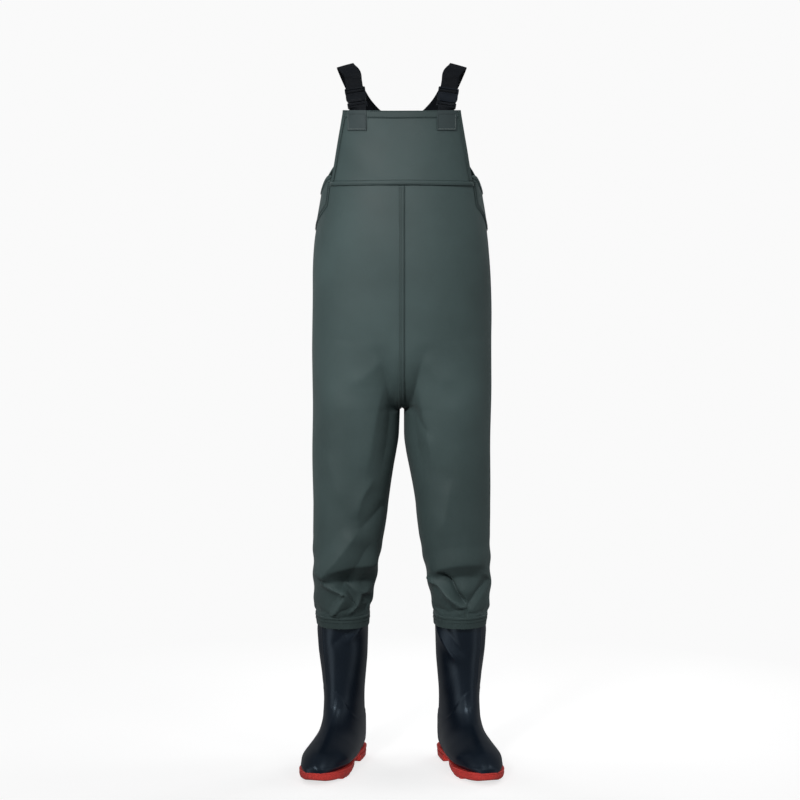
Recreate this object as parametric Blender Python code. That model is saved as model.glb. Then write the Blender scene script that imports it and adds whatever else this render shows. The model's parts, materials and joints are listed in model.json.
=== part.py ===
"""Chest waders: a bib-and-brace body of coated fabric, with rubber boots welded to its legs.

Metres, +Z up. The front of the waders faces -Y and the wearer's left is +X, so `side` is +1 for the
wearer's left and -1 for the right. Everything is modelled round the wearer's upright axis, and
stand_on_origin() at the end moves the whole object so that the origin is the bottom centre of its box.
"""

import math

import bmesh
import bpy
from mathutils import Matrix, Vector

# ---- driving dimensions ----
FABRIC = 0.0025  # wall of the body and leg panels
OVERLAY = 0.0015  # wall of hems, tapes and patches sewn on the outside
OVERLAY_GAP = 0.0012  # clearance of an overlay to the panel under it, which is faceted differently
SEAM_GAP_U = 0.0022  # clearance of two panels at a shared seam, as a share of the way round

CHEST_SEAM_Z = 1.250
BIB_TOP_Z = 1.405
ARMHOLE_CORNER_Z = 1.268
ARMHOLE_LOW_Z = 1.233
BACK_TOP_Z = 1.308
CROTCH_Z = 0.784
GUSSET_FRONT = 0.1255  # how far the crotch strip is from the axis, in front and behind
GUSSET_BACK = 0.1300
CUFF_LOW_Z = 0.307
CUFF_TOP_Z = 0.333

AXIS_Y = 0.0345  # from the middle of the object's box back to the wearer's upright axis
HIP_Z = 0.900  # the hip and knee axes run along X through the wearer's upright axis
KNEE_Z = 0.500
TORSO_HEM_FRONT_Z = HIP_Z + 0.025
TORSO_HEM_BACK_Z = HIP_Z - 0.015
THIGH_TOP_Z = HIP_Z + 0.040
THIGH_HEM_FRONT_Z = KNEE_Z - 0.045
THIGH_HEM_BACK_Z = KNEE_Z + 0.036
SHIN_TOP_FRONT_Z = KNEE_Z + 0.024
SHIN_TOP_BACK_Z = KNEE_Z + 0.050
CUFF_LIFT = 0.0038  # how far the cuff band stands off the panels it is welded to
SLEEVE_INSET = 0.0125  # how far a leg's top stands inside the hem of the piece above it

BIB_HALF_WIDTH = ((CHEST_SEAM_Z, 0.1465), (BIB_TOP_Z, 0.121))
BIB_EDGE_U = 0.329  # where the bib's bottom corner meets the armhole
SIDE_SEAM_U = 0.5

# Sections of the torso: (height, size) of its half width, and of its depth before and behind the axis.
TORSO_HALF_WIDTH = ((0.80, 0.190), (0.95, 0.191), (1.05, 0.189), (1.12, 0.185), (1.174, 0.178),
                    (1.233, 0.168), (1.30, 0.160), (1.405, 0.155))
TORSO_FRONT = ((0.80, 0.122), (0.90, 0.130), (1.00, 0.138), (1.10, 0.141), (1.20, 0.137),
               (1.25, 0.132), (1.33, 0.121), (1.405, 0.107))
TORSO_BACK = ((0.80, 0.130), (0.90, 0.137), (1.00, 0.129), (1.10, 0.119), (1.20, 0.118), (1.31, 0.122))
TORSO_SQUARENESS = 2.5  # exponent of the superellipse: 2 is an ellipse, more is boxier

# Sections of a leg: how far its outer and inner edges are from the middle, its half depth and its centre.
LEG_OUTER = ((0.307, 0.1825), (0.34, 0.186), (0.40, 0.189), (0.50, 0.189), (0.60, 0.190), (0.75, 0.190))
LEG_INNER = ((0.307, 0.0695), (0.343, 0.069), (0.40, 0.057), (0.456, 0.048), (0.50, 0.040),
             (0.60, 0.0255), (0.683, 0.0125), (0.71, 0.010), (0.76, 0.022), (0.80, 0.0245))
LEG_HALF_DEPTH = ((0.307, 0.074), (0.36, 0.079), (0.42, 0.085), (0.50, 0.092), (0.60, 0.100),
                  (0.70, 0.109), (0.775, 0.116), (0.83, 0.113), (0.95, 0.101))
LEG_CENTRE_Y = ((0.307, 0.012), (0.40, 0.006), (0.50, 0.000), (0.70, 0.004), (0.95, 0.004))
LEG_SQUARENESS = 2.2

# ---- boots, in a frame with its origin on the floor under the ankle: forward, outward, up ----
ANKLE = (0.129, 0.003)
SPLAY = math.radians(16)
RUBBER = 0.0025
LINING = 0.0012
INSOLE = 0.0030
BOOT_TOP_Z = 0.340
# (place along the boot, forward, up) of the instep line, from the toe tip to the front of the shaft.
INSTEP = ((0.00, 0.2045, 0.033), (0.06, 0.196, 0.0480), (0.14, 0.174, 0.0625), (0.24, 0.142, 0.0760),
          (0.34, 0.109, 0.089), (0.44, 0.078, 0.107), (0.53, 0.058, 0.135), (0.62, 0.051, 0.168),
          (0.74, 0.051, 0.215), (0.87, 0.053, 0.275), (1.00, 0.056, BOOT_TOP_Z))
# The same of the sole and heel line, from the toe tip to the back of the shaft.
HEEL_LINE = ((0.00, 0.2045, 0.027), (0.06, 0.190, 0.0238), (0.14, 0.150, 0.0238), (0.24, 0.100, 0.0238),
             (0.34, 0.040, 0.0262), (0.44, -0.030, 0.0300), (0.53, -0.0785, 0.0335), (0.62, -0.088, 0.075),
             (0.74, -0.074, 0.135), (0.87, -0.071, 0.230), (1.00, -0.074, BOOT_TOP_Z))
BOOT_HALF_WIDTH = ((0.00, 0.010), (0.06, 0.0250), (0.14, 0.0405), (0.24, 0.0495), (0.34, 0.0470),
                   (0.44, 0.0418), (0.53, 0.0395), (0.62, 0.0395), (0.74, 0.0430), (0.87, 0.0490),
                   (1.00, 0.0520))
BOOT_ROWS = 20
BOOT_GAP = 0.0010  # clearance of the boot's lining, insole and guards to its upper
BOOT_ROUND_FROM = 0.62  # past this place along the boot its sections are round on the heel side too

SOLE_HALF_WIDTH = ((-0.0935, 0.004), (-0.091, 0.016), (-0.083, 0.0265), (-0.065, 0.035), (-0.03, 0.0385),
                   (0.02, 0.0385), (0.07, 0.047), (0.110, 0.0532), (0.137, 0.0510), (0.160, 0.0455),
                   (0.180, 0.0365), (0.194, 0.0262), (0.203, 0.0160), (0.2085, 0.004))
SOLE_TOP = ((-0.0935, 0.0285), (-0.02, 0.0285), (0.06, 0.0222), (0.2085, 0.0222))
SOLE_LOW = ((-0.0935, 0.0165), (0.00, 0.0165), (0.035, 0.012), (0.060, 0.000), (0.17, 0.000),
            (0.2085, 0.007))
HEEL_FRONT = -0.012
HEEL_TOP_Z = 0.0160
GROOVE_DEPTH = 0.0045
GROOVE_WIDTH = 0.0045
SOLE_GROOVES = (0.078, 0.098, 0.118, 0.138, 0.158, 0.178)
HEEL_GROOVES = (-0.068, -0.048, -0.028)

# ---- braces: a buckle on each corner of the bib, and a strap over each shoulder ----
BUCKLE_ORIGIN = (0.0915, -0.0925, 1.4120)  # the middle of the bar that the bib's tab loops round
BUCKLE_UP = Vector((0.150, 0.500, 0.853)).normalized()
BUCKLE_FACING = Vector((-0.05, -1.0, 0.0))
BUCKLE_WIDTH = 0.041
BASE_BAR = 0.0034
BASE_THICK = 0.0050
SOCKET_LOW = 0.0105  # along BUCKLE_UP, from the origin
SOCKET_HIGH = 0.0440
SOCKET_THICK = 0.0092
SOCKET_CAVITY_HALF_WIDTH = 0.0168
SOCKET_CAVITY_TOP = 0.0315
SOCKET_CAVITY_THICK = 0.0056
PRONG_THICK = 0.0046
PRONG_ROOT = 0.0098
PRONG_TIP = 0.0300
WEBBING_WIDTH = 0.036
WEBBING_THICK = 0.0020
STRAP_LOW = 0.0290  # along BUCKLE_UP, where the strap comes down in front of the socket
STRAP_STRAIGHT_TO = 0.0780
# The strap over the shoulder and down the back: (its centre, its outward direction, how much of the
# left strap's rise over the right one it has).
SHOULDER_ROUTE = (
    ((0.1145, -0.035, 1.4935), (0.22, -0.55, 1.0), 0), ((0.1195, -0.002, 1.4985), (0.28, 0.05, 1.0), 0),
    ((0.1160, 0.036, 1.4870), (0.25, 0.6, 0.9), 0), ((0.1010, 0.075, 1.4530), (0.15, 1.0, 0.6), 0),
    ((0.0780, 0.104, 1.4140), (0.05, 1.0, 0.35), 0.2), ((0.0420, 0.123, 1.3780), (0.0, 1.0, 0.22), 0.8),
    ((0.0000, 0.129, 1.3500), (0.0, 1.0, 0.14), 1), ((-0.0340, 0.1275, 1.3220), (0.0, 1.0, 0.14), 0.7),
    ((-0.0630, 0.1222, 1.2880), (-0.12, 1.0, 0.10), 0.0))
STRAP_CROSSING = 0.0056
TAB_HALF_WIDTH = 0.0168
TAB_WALL = 0.0014
TAB_LOW_Z = 1.362
TAB_BEND_Z = 1.401
BACK_TAB_LIFT = 0.0105


def paint(name, colour, roughness, metallic=0.0):
    """A plain material of this colour."""
    material = bpy.data.materials.new(name)
    material.use_nodes = True
    shader = material.node_tree.nodes["Principled BSDF"]
    shader.inputs["Base Color"].default_value = (*colour, 1.0)
    shader.inputs["Roughness"].default_value = roughness
    shader.inputs["Metallic"].default_value = metallic
    return material


def along(stations, t):
    """The value at t of a smooth curve through (t, value) stations, which never overshoots them."""
    if t <= stations[0][0]:
        return stations[0][1]
    if t >= stations[-1][0]:
        return stations[-1][1]
    i = max(k for k in range(len(stations) - 1) if stations[k][0] <= t)

    def secant(k):
        return (stations[k + 1][1] - stations[k][1]) / (stations[k + 1][0] - stations[k][0])

    def slope(k):
        if k == 0 or k == len(stations) - 1:
            return secant(min(k, len(stations) - 2))
        before, after = secant(k - 1), secant(k)
        return 0.0 if before * after <= 0 else 2 * before * after / (before + after)

    (t0, v0), (t1, v1) = stations[i], stations[i + 1]
    span = t1 - t0
    s = (t - t0) / span
    rise = v0 * (1 + 2 * s) * (1 - s) ** 2 + v1 * s * s * (3 - 2 * s)
    return rise + span * (slope(i) * s * (1 - s) ** 2 - slope(i + 1) * s * s * (1 - s))


def smooth_step(low, high, t):
    """0 below low, 1 above high, and a smooth rise between them."""
    s = min(1.0, max(0.0, (t - low) / (high - low)))
    return s * s * (3 - 2 * s)


def power(value, exponent):
    """value to the exponent, keeping its sign."""
    return math.copysign(abs(value) ** exponent, value)


def add_object(name, mesh, material):
    obj = bpy.data.objects.new(name, mesh)
    bpy.context.scene.collection.objects.link(obj)
    mesh.materials.append(material)
    return obj


def sheet(name, point, rows, columns, wall, material, side=1, closed=False, capped=False):
    """A skin through point(u, v), u across and v up from 0 to 1, thickened inwards.

    closed joins the last column to the first, and capped closes the first row with one face.
    """
    count = columns if closed else columns + 1
    bm = bmesh.new()
    grid = [[bm.verts.new(point(i / columns, j / rows)) for i in range(count)] for j in range(rows + 1)]
    for low, high in zip(grid, grid[1:]):
        for i in range(columns):
            k = (i + 1) % count
            bm.faces.new((low[i], low[k], high[k], high[i]))
    if capped:
        bm.faces.new(list(reversed(grid[0])))
    if side < 0:
        bmesh.ops.reverse_faces(bm, faces=bm.faces)
    mesh = bpy.data.meshes.new(name)
    bm.to_mesh(mesh)
    bm.free()
    mesh.shade_smooth()
    obj = add_object(name, mesh, material)
    skin = obj.modifiers.new("wall", "SOLIDIFY")
    skin.thickness = wall
    skin.offset = -1
    return obj


def lifted(point, distance, side=1):
    """point(u, v) moved outwards along the skin's normal by distance."""
    step = 1e-3

    def moved(u, v):
        u0, u1 = max(u - step, 0.0), min(u + step, 1.0)
        v0, v1 = max(v - step, 0.0), min(v + step, 1.0)
        across = point(u1, v) - point(u0, v)
        up = point(u, v1) - point(u, v0)
        return point(u, v) + across.cross(up).normalized() * distance * side

    return moved


def prism(name, outline, low, high, frame, material, bevel=0.0):
    """An outline of (a, b) points extruded from low to high along the third axis of the frame."""
    bm = bmesh.new()
    bottom = [bm.verts.new((a, b, low)) for a, b in outline]
    face = bm.faces.new(bottom)
    made = bmesh.ops.extrude_face_region(bm, geom=[face])["geom"]
    tops = [v for v in made if isinstance(v, bmesh.types.BMVert)]
    bmesh.ops.translate(bm, verts=tops, vec=(0, 0, high - low))
    bmesh.ops.recalc_face_normals(bm, faces=bm.faces)
    mesh = bpy.data.meshes.new(name)
    bm.to_mesh(mesh)
    bm.free()
    obj = add_object(name, mesh, material)
    obj.matrix_world = frame
    if bevel:
        soften = obj.modifiers.new("edges", "BEVEL")
        soften.width = bevel
        soften.segments = 1
        soften.limit_method = "ANGLE"
    return obj


def box(name, a, b, c, frame, material, bevel=0.0):
    """A block between (low, high) along each axis of the frame."""
    outline = ((a[0], b[0]), (a[1], b[0]), (a[1], b[1]), (a[0], b[1]))
    return prism(name, outline, c[0], c[1], frame, material, bevel)


def cut(obj, cutter):
    """Takes the cutter out of obj, and leaves it out of the object."""
    cutter.hide_render = True
    cutter.display_type = "WIRE"
    hole = obj.modifiers.new(f"cut_{cutter.name}", "BOOLEAN")
    hole.operation = "DIFFERENCE"
    hole.object = cutter
    hole.solver = "EXACT"


def join(obj, other):
    """Makes other part of obj."""
    other.hide_render = True
    other.display_type = "WIRE"
    weld = obj.modifiers.new(f"join_{other.name}", "BOOLEAN")
    weld.operation = "UNION"
    weld.object = other
    weld.solver = "EXACT"


def named(side, name):
    return ("left_" if side > 0 else "right_") + name


# ---- body ----

def torso_point(side, u, z):
    """The torso at height z: u is 0 at the front centre, 0.5 at the side seam and 1 at the back centre."""
    angle = math.radians(180 * u - 90)
    depth = along(TORSO_FRONT if u < SIDE_SEAM_U else TORSO_BACK, z)
    x = along(TORSO_HALF_WIDTH, z) * power(math.cos(angle), 2 / TORSO_SQUARENESS)
    return Vector((side * x, depth * power(math.sin(angle), 2 / TORSO_SQUARENESS), z))


def torso_hem_z(u):
    return TORSO_HEM_FRONT_Z + (TORSO_HEM_BACK_Z - TORSO_HEM_FRONT_Z) * smooth_step(0.35, 0.65, u)


def torso_top_z(u):
    """The chest seam in front, the armhole at the side, and the raised back."""
    if u <= BIB_EDGE_U + 0.004:
        return CHEST_SEAM_Z - 0.001
    if u <= SIDE_SEAM_U:
        low = smooth_step(BIB_EDGE_U + 0.02, SIDE_SEAM_U, u)
        return ARMHOLE_CORNER_Z + (ARMHOLE_LOW_Z - ARMHOLE_CORNER_Z) * low
    return ARMHOLE_LOW_Z + (BACK_TOP_Z - ARMHOLE_LOW_Z) * smooth_step(SIDE_SEAM_U, 0.78, u)


def torso_panel(side, name, u0, u1, rows, columns, material):
    def point(u, v):
        across = u0 + (u1 - u0) * u
        low = torso_hem_z(across)
        return torso_point(side, across, low + (torso_top_z(across) - low) * v)

    return sheet(named(side, name), point, rows, columns, FABRIC, material, side)


def bib_point(x, z):
    """The bib's outside, x across from the middle."""
    reach = min(1.0, abs(x) / along(TORSO_HALF_WIDTH, z))
    depth = along(TORSO_FRONT, z) * (1 - reach ** TORSO_SQUARENESS) ** (1 / TORSO_SQUARENESS)
    return Vector((x, -depth, z))


def bib_half_width(z):
    (z0, w0), (z1, w1) = BIB_HALF_WIDTH
    return w0 + (w1 - w0) * (z - z0) / (z1 - z0)


def make_bib(fabric, hem):
    low, high = CHEST_SEAM_Z + 0.0005, BIB_TOP_Z
    hem_width = 0.010

    def panel(u, v):
        z = low + (high - low) * v
        return bib_point((2 * u - 1) * bib_half_width(z), z)

    sheet("bib_panel", panel, 6, 14, FABRIC, fabric)

    def top_hem(u, v):
        z = high - hem_width * (1 - v)
        return bib_point((2 * u - 1) * (bib_half_width(z) - hem_width - 0.001), z)

    sheet("bib_top_hem", lifted(top_hem, OVERLAY_GAP + OVERLAY), 1, 12, OVERLAY, hem)
    for side in (1, -1):
        def side_hem(u, v, side=side):
            z = low + 0.012 + (high - low - 0.012) * v
            edge = bib_half_width(z)
            return bib_point(side * (edge - hem_width * (1 - u)), z)

        sheet(named(side, "bib_side_hem"), lifted(side_hem, OVERLAY_GAP + OVERLAY, side), 5, 1,
              OVERLAY, hem, side)

    def chest_band(u, v):
        z = CHEST_SEAM_Z + 0.001 + 0.009 * v
        return bib_point((2 * u - 1) * (bib_half_width(z) - 0.0005), z)

    sheet("chest_seam_band", lifted(chest_band, OVERLAY_GAP + OVERLAY), 1, 12, OVERLAY, hem)


def make_centre_seams(tape):
    """Narrow tapes over the centre front and centre back seams."""
    half = 0.0055

    def front(u, v):
        z = TORSO_HEM_FRONT_Z + (CHEST_SEAM_Z - 0.001 - TORSO_HEM_FRONT_Z) * v
        return bib_point((2 * u - 1) * half, z)

    def back(u, v):
        z = TORSO_HEM_BACK_Z + (BACK_TOP_Z - 0.034 - TORSO_HEM_BACK_Z) * v
        return Vector(((1 - 2 * u) * half, along(TORSO_BACK, z), z))

    sheet("centre_front_seam_tape", lifted(front, OVERLAY_GAP + OVERLAY), 8, 1, OVERLAY, tape)
    sheet("centre_back_seam_tape", lifted(back, OVERLAY_GAP + OVERLAY), 8, 1, OVERLAY, tape)


def make_crotch_gusset(material):
    """A strip that runs from the back hem down under the crotch and up to the front hem."""
    half_width = 0.018
    top = TORSO_HEM_FRONT_Z + 0.012

    def point(u, v):
        turn = math.pi * v
        reach = GUSSET_BACK if v < 0.5 else GUSSET_FRONT
        y = reach * math.cos(turn)
        return Vector(((2 * u - 1) * half_width, y, top - (top - CROTCH_Z) * math.sin(turn)))

    sheet("crotch_gusset", point, 16, 1, FABRIC, material)


def make_side_patch(side, material):
    """The patch under the armhole: upright sides, and a bottom edge that points down at the side seam."""
    u0, u1 = BIB_EDGE_U + 0.012, 1 - BIB_EDGE_U - 0.012
    corner_z, point_z = 1.200, 1.150

    def point(u, v):
        across = u0 + (u1 - u0) * u
        low = point_z + (corner_z - point_z) * abs(2 * u - 1)
        return torso_point(side, across, low + (torso_top_z(across) - low) * v)

    raised = lifted(point, OVERLAY_GAP + OVERLAY, side)
    sheet(named(side, "side_patch"), raised, 3, 10, OVERLAY, material, side)


def make_back_elastic(material):
    """The elastic band along the top of the back."""
    height = 0.030
    half_span = 0.20

    def point(u, v):
        side = 1 if u < 0.5 else -1
        across = 1 - half_span * abs(1 - 2 * u)
        z = torso_top_z(across) - height * (1 - v)
        return torso_point(side, across, z)

    sheet("back_elastic_band", lifted(point, OVERLAY_GAP + OVERLAY), 1, 14, OVERLAY, material)


# ---- legs ----

def leg_point(side, u, z, inset=0.0):
    """A leg at height z: u is 0 at the inseam, 0.25 in front, 0.5 outside and 0.75 behind."""
    outer = along(LEG_OUTER, z)
    inner = along(LEG_INNER, z)
    angle = math.radians(360 * u + 180)
    half_width = (outer - inner) / 2 - inset * 1.15
    half_depth = along(LEG_HALF_DEPTH, z) - inset
    exponent = 2 / LEG_SQUARENESS
    x = (outer + inner) / 2 + half_width * power(math.cos(angle), exponent)
    y = along(LEG_CENTRE_Y, z) + half_depth * power(math.sin(angle), exponent)
    return Vector((side * x, y, z))


def hem_z(u, front, back):
    """The height of a slanted hem: front and back heights at u 0.25 and 0.75."""
    lean = 0.5 - 0.5 * math.sin(2 * math.pi * u)
    return front + (back - front) * lean


def leg_panels(side, name, top, hem, inset_at, rows, material):
    """The front and the back panel of a stretch of leg, each from the inseam to the side seam."""
    for half, start in (("front", 0.0), ("back", 0.5)):
        def point(u, v, start=start):
            around = start + SEAM_GAP_U + (0.5 - 2 * SEAM_GAP_U) * u
            low, high = hem(around), top(around)
            z = low + (high - low) * v
            return leg_point(side, around, z, inset_at(z))

        sheet(named(side, f"{name}_{half}_panel"), point, rows, 10, FABRIC, material, side)


def make_leg(side, fabric, hem_material):
    leg_panels(side, "thigh", lambda u: THIGH_TOP_Z, lambda u: hem_z(u, THIGH_HEM_FRONT_Z, THIGH_HEM_BACK_Z),
               lambda z: SLEEVE_INSET * smooth_step(0.80, 0.85, z), 10, fabric)
    leg_panels(side, "shin", lambda u: hem_z(u, SHIN_TOP_FRONT_Z, SHIN_TOP_BACK_Z),
               lambda u: CUFF_LOW_Z + 0.002,
               lambda z: SLEEVE_INSET * smooth_step(0.40, 0.44, z), 6, fabric)

    def cuff(u, v):
        return leg_point(side, u, CUFF_LOW_Z + (CUFF_TOP_Z - CUFF_LOW_Z) * v, -CUFF_LIFT)

    sheet(named(side, "cuff_band"), cuff, 1, 24, OVERLAY, hem_material, side, closed=True)


# ---- boots ----

def boot_frame(side):
    """Carries (forward, outward, up) of a boot into the object's frame."""
    forward = Vector((side * math.sin(SPLAY), -math.cos(SPLAY), 0))
    outward = Vector((side * math.cos(SPLAY), math.sin(SPLAY), 0))
    frame = Matrix((forward, outward, (0, 0, 1))).transposed().to_4x4()
    frame.translation = (side * ANKLE[0], ANKLE[1], 0)
    return frame


def profile(line, place):
    """(forward, up) of a side-view line at a place along the boot."""
    forward = along([(p, f) for p, f, z in line], place)
    up = along([(p, z) for p, f, z in line], place)
    return Vector((forward, 0, up))


def boot_point(u, place, inset=0.0):
    """The boot's upper: u runs round each section from the instep, over the outside, to the heel line."""
    top, low = profile(INSTEP, place), profile(HEEL_LINE, place)
    centre, reach = (top + low) / 2, (top - low) / 2
    angle = 2 * math.pi * u
    boxy = 0.62 if place < BOOT_ROUND_FROM - 0.1 else 0.62 + 0.38 * smooth_step(0.52, 0.80, place)
    fullness = 1.0 if math.cos(angle) > 0 else boxy
    shrink = 1 - inset / reach.length
    width = (along(BOOT_HALF_WIDTH, place) - inset) * power(math.sin(angle), fullness)
    return centre + reach * (shrink * math.cos(angle)) + Vector((0, width, 0))


def sole_outline(start, end, steps, grow=0.0):
    """(forward, outward) points round the sole between two places along it."""
    places = [start + (end - start) * (0.5 - 0.5 * math.cos(math.pi * k / steps)) for k in range(steps + 1)]
    outer = [(f, along(SOLE_HALF_WIDTH, f) + grow) for f in places]
    return outer + [(f, -w) for f, w in reversed(outer)]


def make_boot(side, rubber, red, knit, foam):
    frame = boot_frame(side)

    def upper(u, v):
        return frame @ boot_point(u, v)

    sheet(named(side, "boot_upper"), upper, BOOT_ROWS, 20, RUBBER, rubber, side, closed=True, capped=True)

    def shaft(u, v):
        return frame @ boot_point(u, (13 + 7 * v) / BOOT_ROWS)

    inner = lifted(shaft, -RUBBER - BOOT_GAP, side)
    sheet(named(side, "boot_lining"), inner, 7, 20, LINING, knit, side, closed=True)

    def heel_counter(u, v):
        return frame @ boot_point(0.5 + 0.20 * (2 * u - 1), (11 + 3 * v) / BOOT_ROWS)

    counter = lifted(heel_counter, OVERLAY + BOOT_GAP, side)
    sheet(named(side, "heel_counter"), counter, 3, 8, OVERLAY, rubber, side)

    def ankle_guard(u, v):
        return frame @ boot_point(0.15 * (2 * u - 1), (9 + 5 * v) / BOOT_ROWS)

    guard = lifted(ankle_guard, OVERLAY + BOOT_GAP, side)
    sheet(named(side, "ankle_guard"), guard, 5, 6, OVERLAY, rubber, side)

    def insole(u, v):
        return frame @ boot_point(0.5 + 0.15 * (2 * u - 1), (2 + 8 * v) / BOOT_ROWS)

    cushion = lifted(insole, -RUBBER - BOOT_GAP, side)
    sheet(named(side, "insole"), cushion, 8, 6, INSOLE, foam, side)
    make_outsole(side, frame, red)
    make_heel(side, frame, red)


def make_outsole(side, frame, red):
    """The red sole: thick under the forefoot, thin under the arch, with bars across its underside."""
    steps = 22
    name = named(side, "outsole")
    outline = sole_outline(SOLE_HALF_WIDTH[0][0], SOLE_HALF_WIDTH[-1][0], steps)
    bm = bmesh.new()
    low = [bm.verts.new((f, w, along(SOLE_LOW, f))) for f, w in outline]
    high = [bm.verts.new((f, w, along(SOLE_TOP, f))) for f, w in outline]
    count = len(outline)
    for i in range(count):
        k = (i + 1) % count
        bm.faces.new((low[i], low[k], high[k], high[i]))
    for ring in (low, high):
        for i in range(count // 2 - 1):
            bm.faces.new((ring[i], ring[i + 1], ring[count - 2 - i], ring[count - 1 - i]))
    bmesh.ops.recalc_face_normals(bm, faces=bm.faces)
    mesh = bpy.data.meshes.new(name)
    bm.to_mesh(mesh)
    bm.free()
    obj = add_object(name, mesh, red)
    obj.matrix_world = frame
    add_grooves(obj, SOLE_GROOVES, frame, red)


def make_heel(side, frame, red):
    outline = sole_outline(SOLE_HALF_WIDTH[0][0], HEEL_FRONT, 8, -0.001)
    heel = prism(named(side, "heel_block"), outline, 0.0, HEEL_TOP_Z, frame, red)
    add_grooves(heel, HEEL_GROOVES, frame, red)


def add_grooves(obj, places, frame, material):
    """Cuts bars of tread across the underside of a sole."""
    for number, f in enumerate(places):
        groove = box(f"{obj.name}_groove_{number}", (f, f + GROOVE_WIDTH), (-0.08, 0.08),
                     (-0.01, GROOVE_DEPTH), frame, material)
        cut(obj, groove)


# ---- braces ----

def buckle_frame(side):
    """Carries (across, up, out) of a buckle into the object's frame, from the middle of its tab bar."""
    up = Vector((side * BUCKLE_UP.x, BUCKLE_UP.y, BUCKLE_UP.z))
    normal = Vector((side * BUCKLE_FACING.x, BUCKLE_FACING.y, 0))
    out = (normal - up * normal.dot(up)).normalized()
    across = up.cross(out)
    frame = Matrix((across, up, out)).transposed().to_4x4()
    x, y, z = BUCKLE_ORIGIN
    frame.translation = (side * x, y, z)
    return frame


def make_buckle_base(side, frame, plastic):
    """The fixed half: a bar for the tab, a beam above it, and a guide tongue between the prongs."""
    half, thick = BUCKLE_WIDTH / 2, BASE_THICK / 2
    rail = BASE_BAR / 2
    base = box(named(side, "buckle_base"), (-half, half), (-rail, 0.0092), (-thick, thick), frame, plastic,
               0.0006)
    opening = half - 0.0032
    slot = box(f"{base.name}_slot", (-opening, opening), (rail, rail + 0.0032), (-0.01, 0.01),
               frame, plastic)
    cut(base, slot)
    tongue = box(f"{base.name}_tongue", (-0.0030, 0.0030), (0.0085, 0.0240), (-0.0018, 0.0018), frame,
                 plastic)
    join(base, tongue)


def make_prong(side, hand, frame, plastic):
    """A springy prong, hand +1 or -1 across the buckle: a thin arm with a rounded head at its tip."""
    outline = ((0.0108, PRONG_ROOT), (0.0150, PRONG_ROOT), (0.0158, 0.0160), (0.0162, 0.0200), (0.0160, 0.0250),
               (0.0146, 0.0285), (0.0122, PRONG_TIP), (0.0100, 0.0270), (0.0104, 0.0200))
    shape = [(hand * a, b) for a, b in outline]
    label = "outer" if hand == side else "inner"
    prism(named(side, f"prong_{label}"), shape, -PRONG_THICK / 2, PRONG_THICK / 2, frame, plastic)


def make_socket(side, frame, plastic):
    """The clip's socket half: the prongs go in at the bottom, and the strap through two slots at the top."""
    thick = SOCKET_THICK / 2
    half_outline = ((0.0180, SOCKET_LOW), (0.0192, 0.0150), (0.0212, 0.0215), (0.0214, 0.0300),
                    (0.0205, 0.0400), (0.0192, SOCKET_HIGH))
    outline = list(half_outline) + [(-a, b) for a, b in reversed(half_outline)]
    socket = prism(named(side, "buckle_socket"), outline, -thick, thick, frame, plastic, 0.0010)
    cavity = SOCKET_CAVITY_HALF_WIDTH
    deep = SOCKET_CAVITY_THICK / 2
    cut(socket, box(f"{socket.name}_cavity", (-cavity, cavity), (0.0, SOCKET_CAVITY_TOP), (-deep, deep),
                    frame, plastic))
    cut(socket, box(f"{socket.name}_windows", (-0.03, 0.03), (0.0185, 0.0270),
                    (-deep + 0.0004, deep - 0.0004), frame, plastic))
    for number, low in enumerate((0.0338, 0.0388)):
        cut(socket, box(f"{socket.name}_slot_{number}", (-0.0182, 0.0182), (low, low + 0.0026), (-0.01, 0.01),
                        frame, plastic))


def make_tab(side, frame, material):
    """The fabric tab: a patch on the bib that passes over the buckle's bar and down behind the bib."""
    wall = TAB_WALL
    reach_up = BASE_BAR / 2 + 0.0007 + wall
    reach_out = BASE_THICK / 2 + 0.0007 + wall

    def point(u, v):
        across = (2 * u - 1) * TAB_HALF_WIDTH
        if v <= 0.4:
            z = TAB_LOW_Z + (TAB_BEND_Z - TAB_LOW_Z) * v / 0.4
            return lifted_bib(side * BUCKLE_ORIGIN[0] + across, z, 2 * (OVERLAY_GAP + OVERLAY) + wall)
        turn = math.radians(-30 + 210 * (v - 0.4) / 0.6)
        up, out = power(math.sin(turn), 0.5), power(math.cos(turn), 0.5)
        return frame @ Vector((across, reach_up * up, reach_out * out))

    sheet(named(side, "strap_tab"), point, 20, 4, wall, material)


def lifted_bib(x, z, distance):
    step = 1e-3
    across = bib_point(x + step, z) - bib_point(x - step, z)
    up = bib_point(x, z + step) - bib_point(x, z - step)
    return bib_point(x, z) + across.cross(up).normalized() * distance


def catmull(points, t):
    """A smooth curve through evenly spaced points, t from 0 to 1."""
    place = t * (len(points) - 1)
    i = min(int(place), len(points) - 2)
    s = place - i
    p0, p1 = points[max(i - 1, 0)], points[i]
    p2, p3 = points[i + 1], points[min(i + 2, len(points) - 1)]
    return 0.5 * (2 * p1 + (p2 - p0) * s + (2 * p0 - 5 * p1 + 4 * p2 - p3) * s * s
                  + (3 * p1 - p0 - 3 * p2 + p3) * s ** 3)


def strap_route(side):
    """(place, outward direction) pairs from the socket, over the shoulder, to the back's other side."""
    frame = buckle_frame(side)
    out = frame.to_3x3() @ Vector((0, 0, 1))
    height = SOCKET_THICK / 2 + 0.0006 + WEBBING_THICK / 2
    route = [(frame @ Vector((0, b, height)), out)
             for b in (STRAP_LOW, 0.045, 0.0615, STRAP_STRAIGHT_TO)]
    for (x, y, z), (nx, ny, nz), over in SHOULDER_ROUTE:
        raised = over * (STRAP_CROSSING if side > 0 else 0.0)
        route.append((Vector((side * x, y + raised, z)), Vector((side * nx, ny, nz)).normalized()))
    return route


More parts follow.
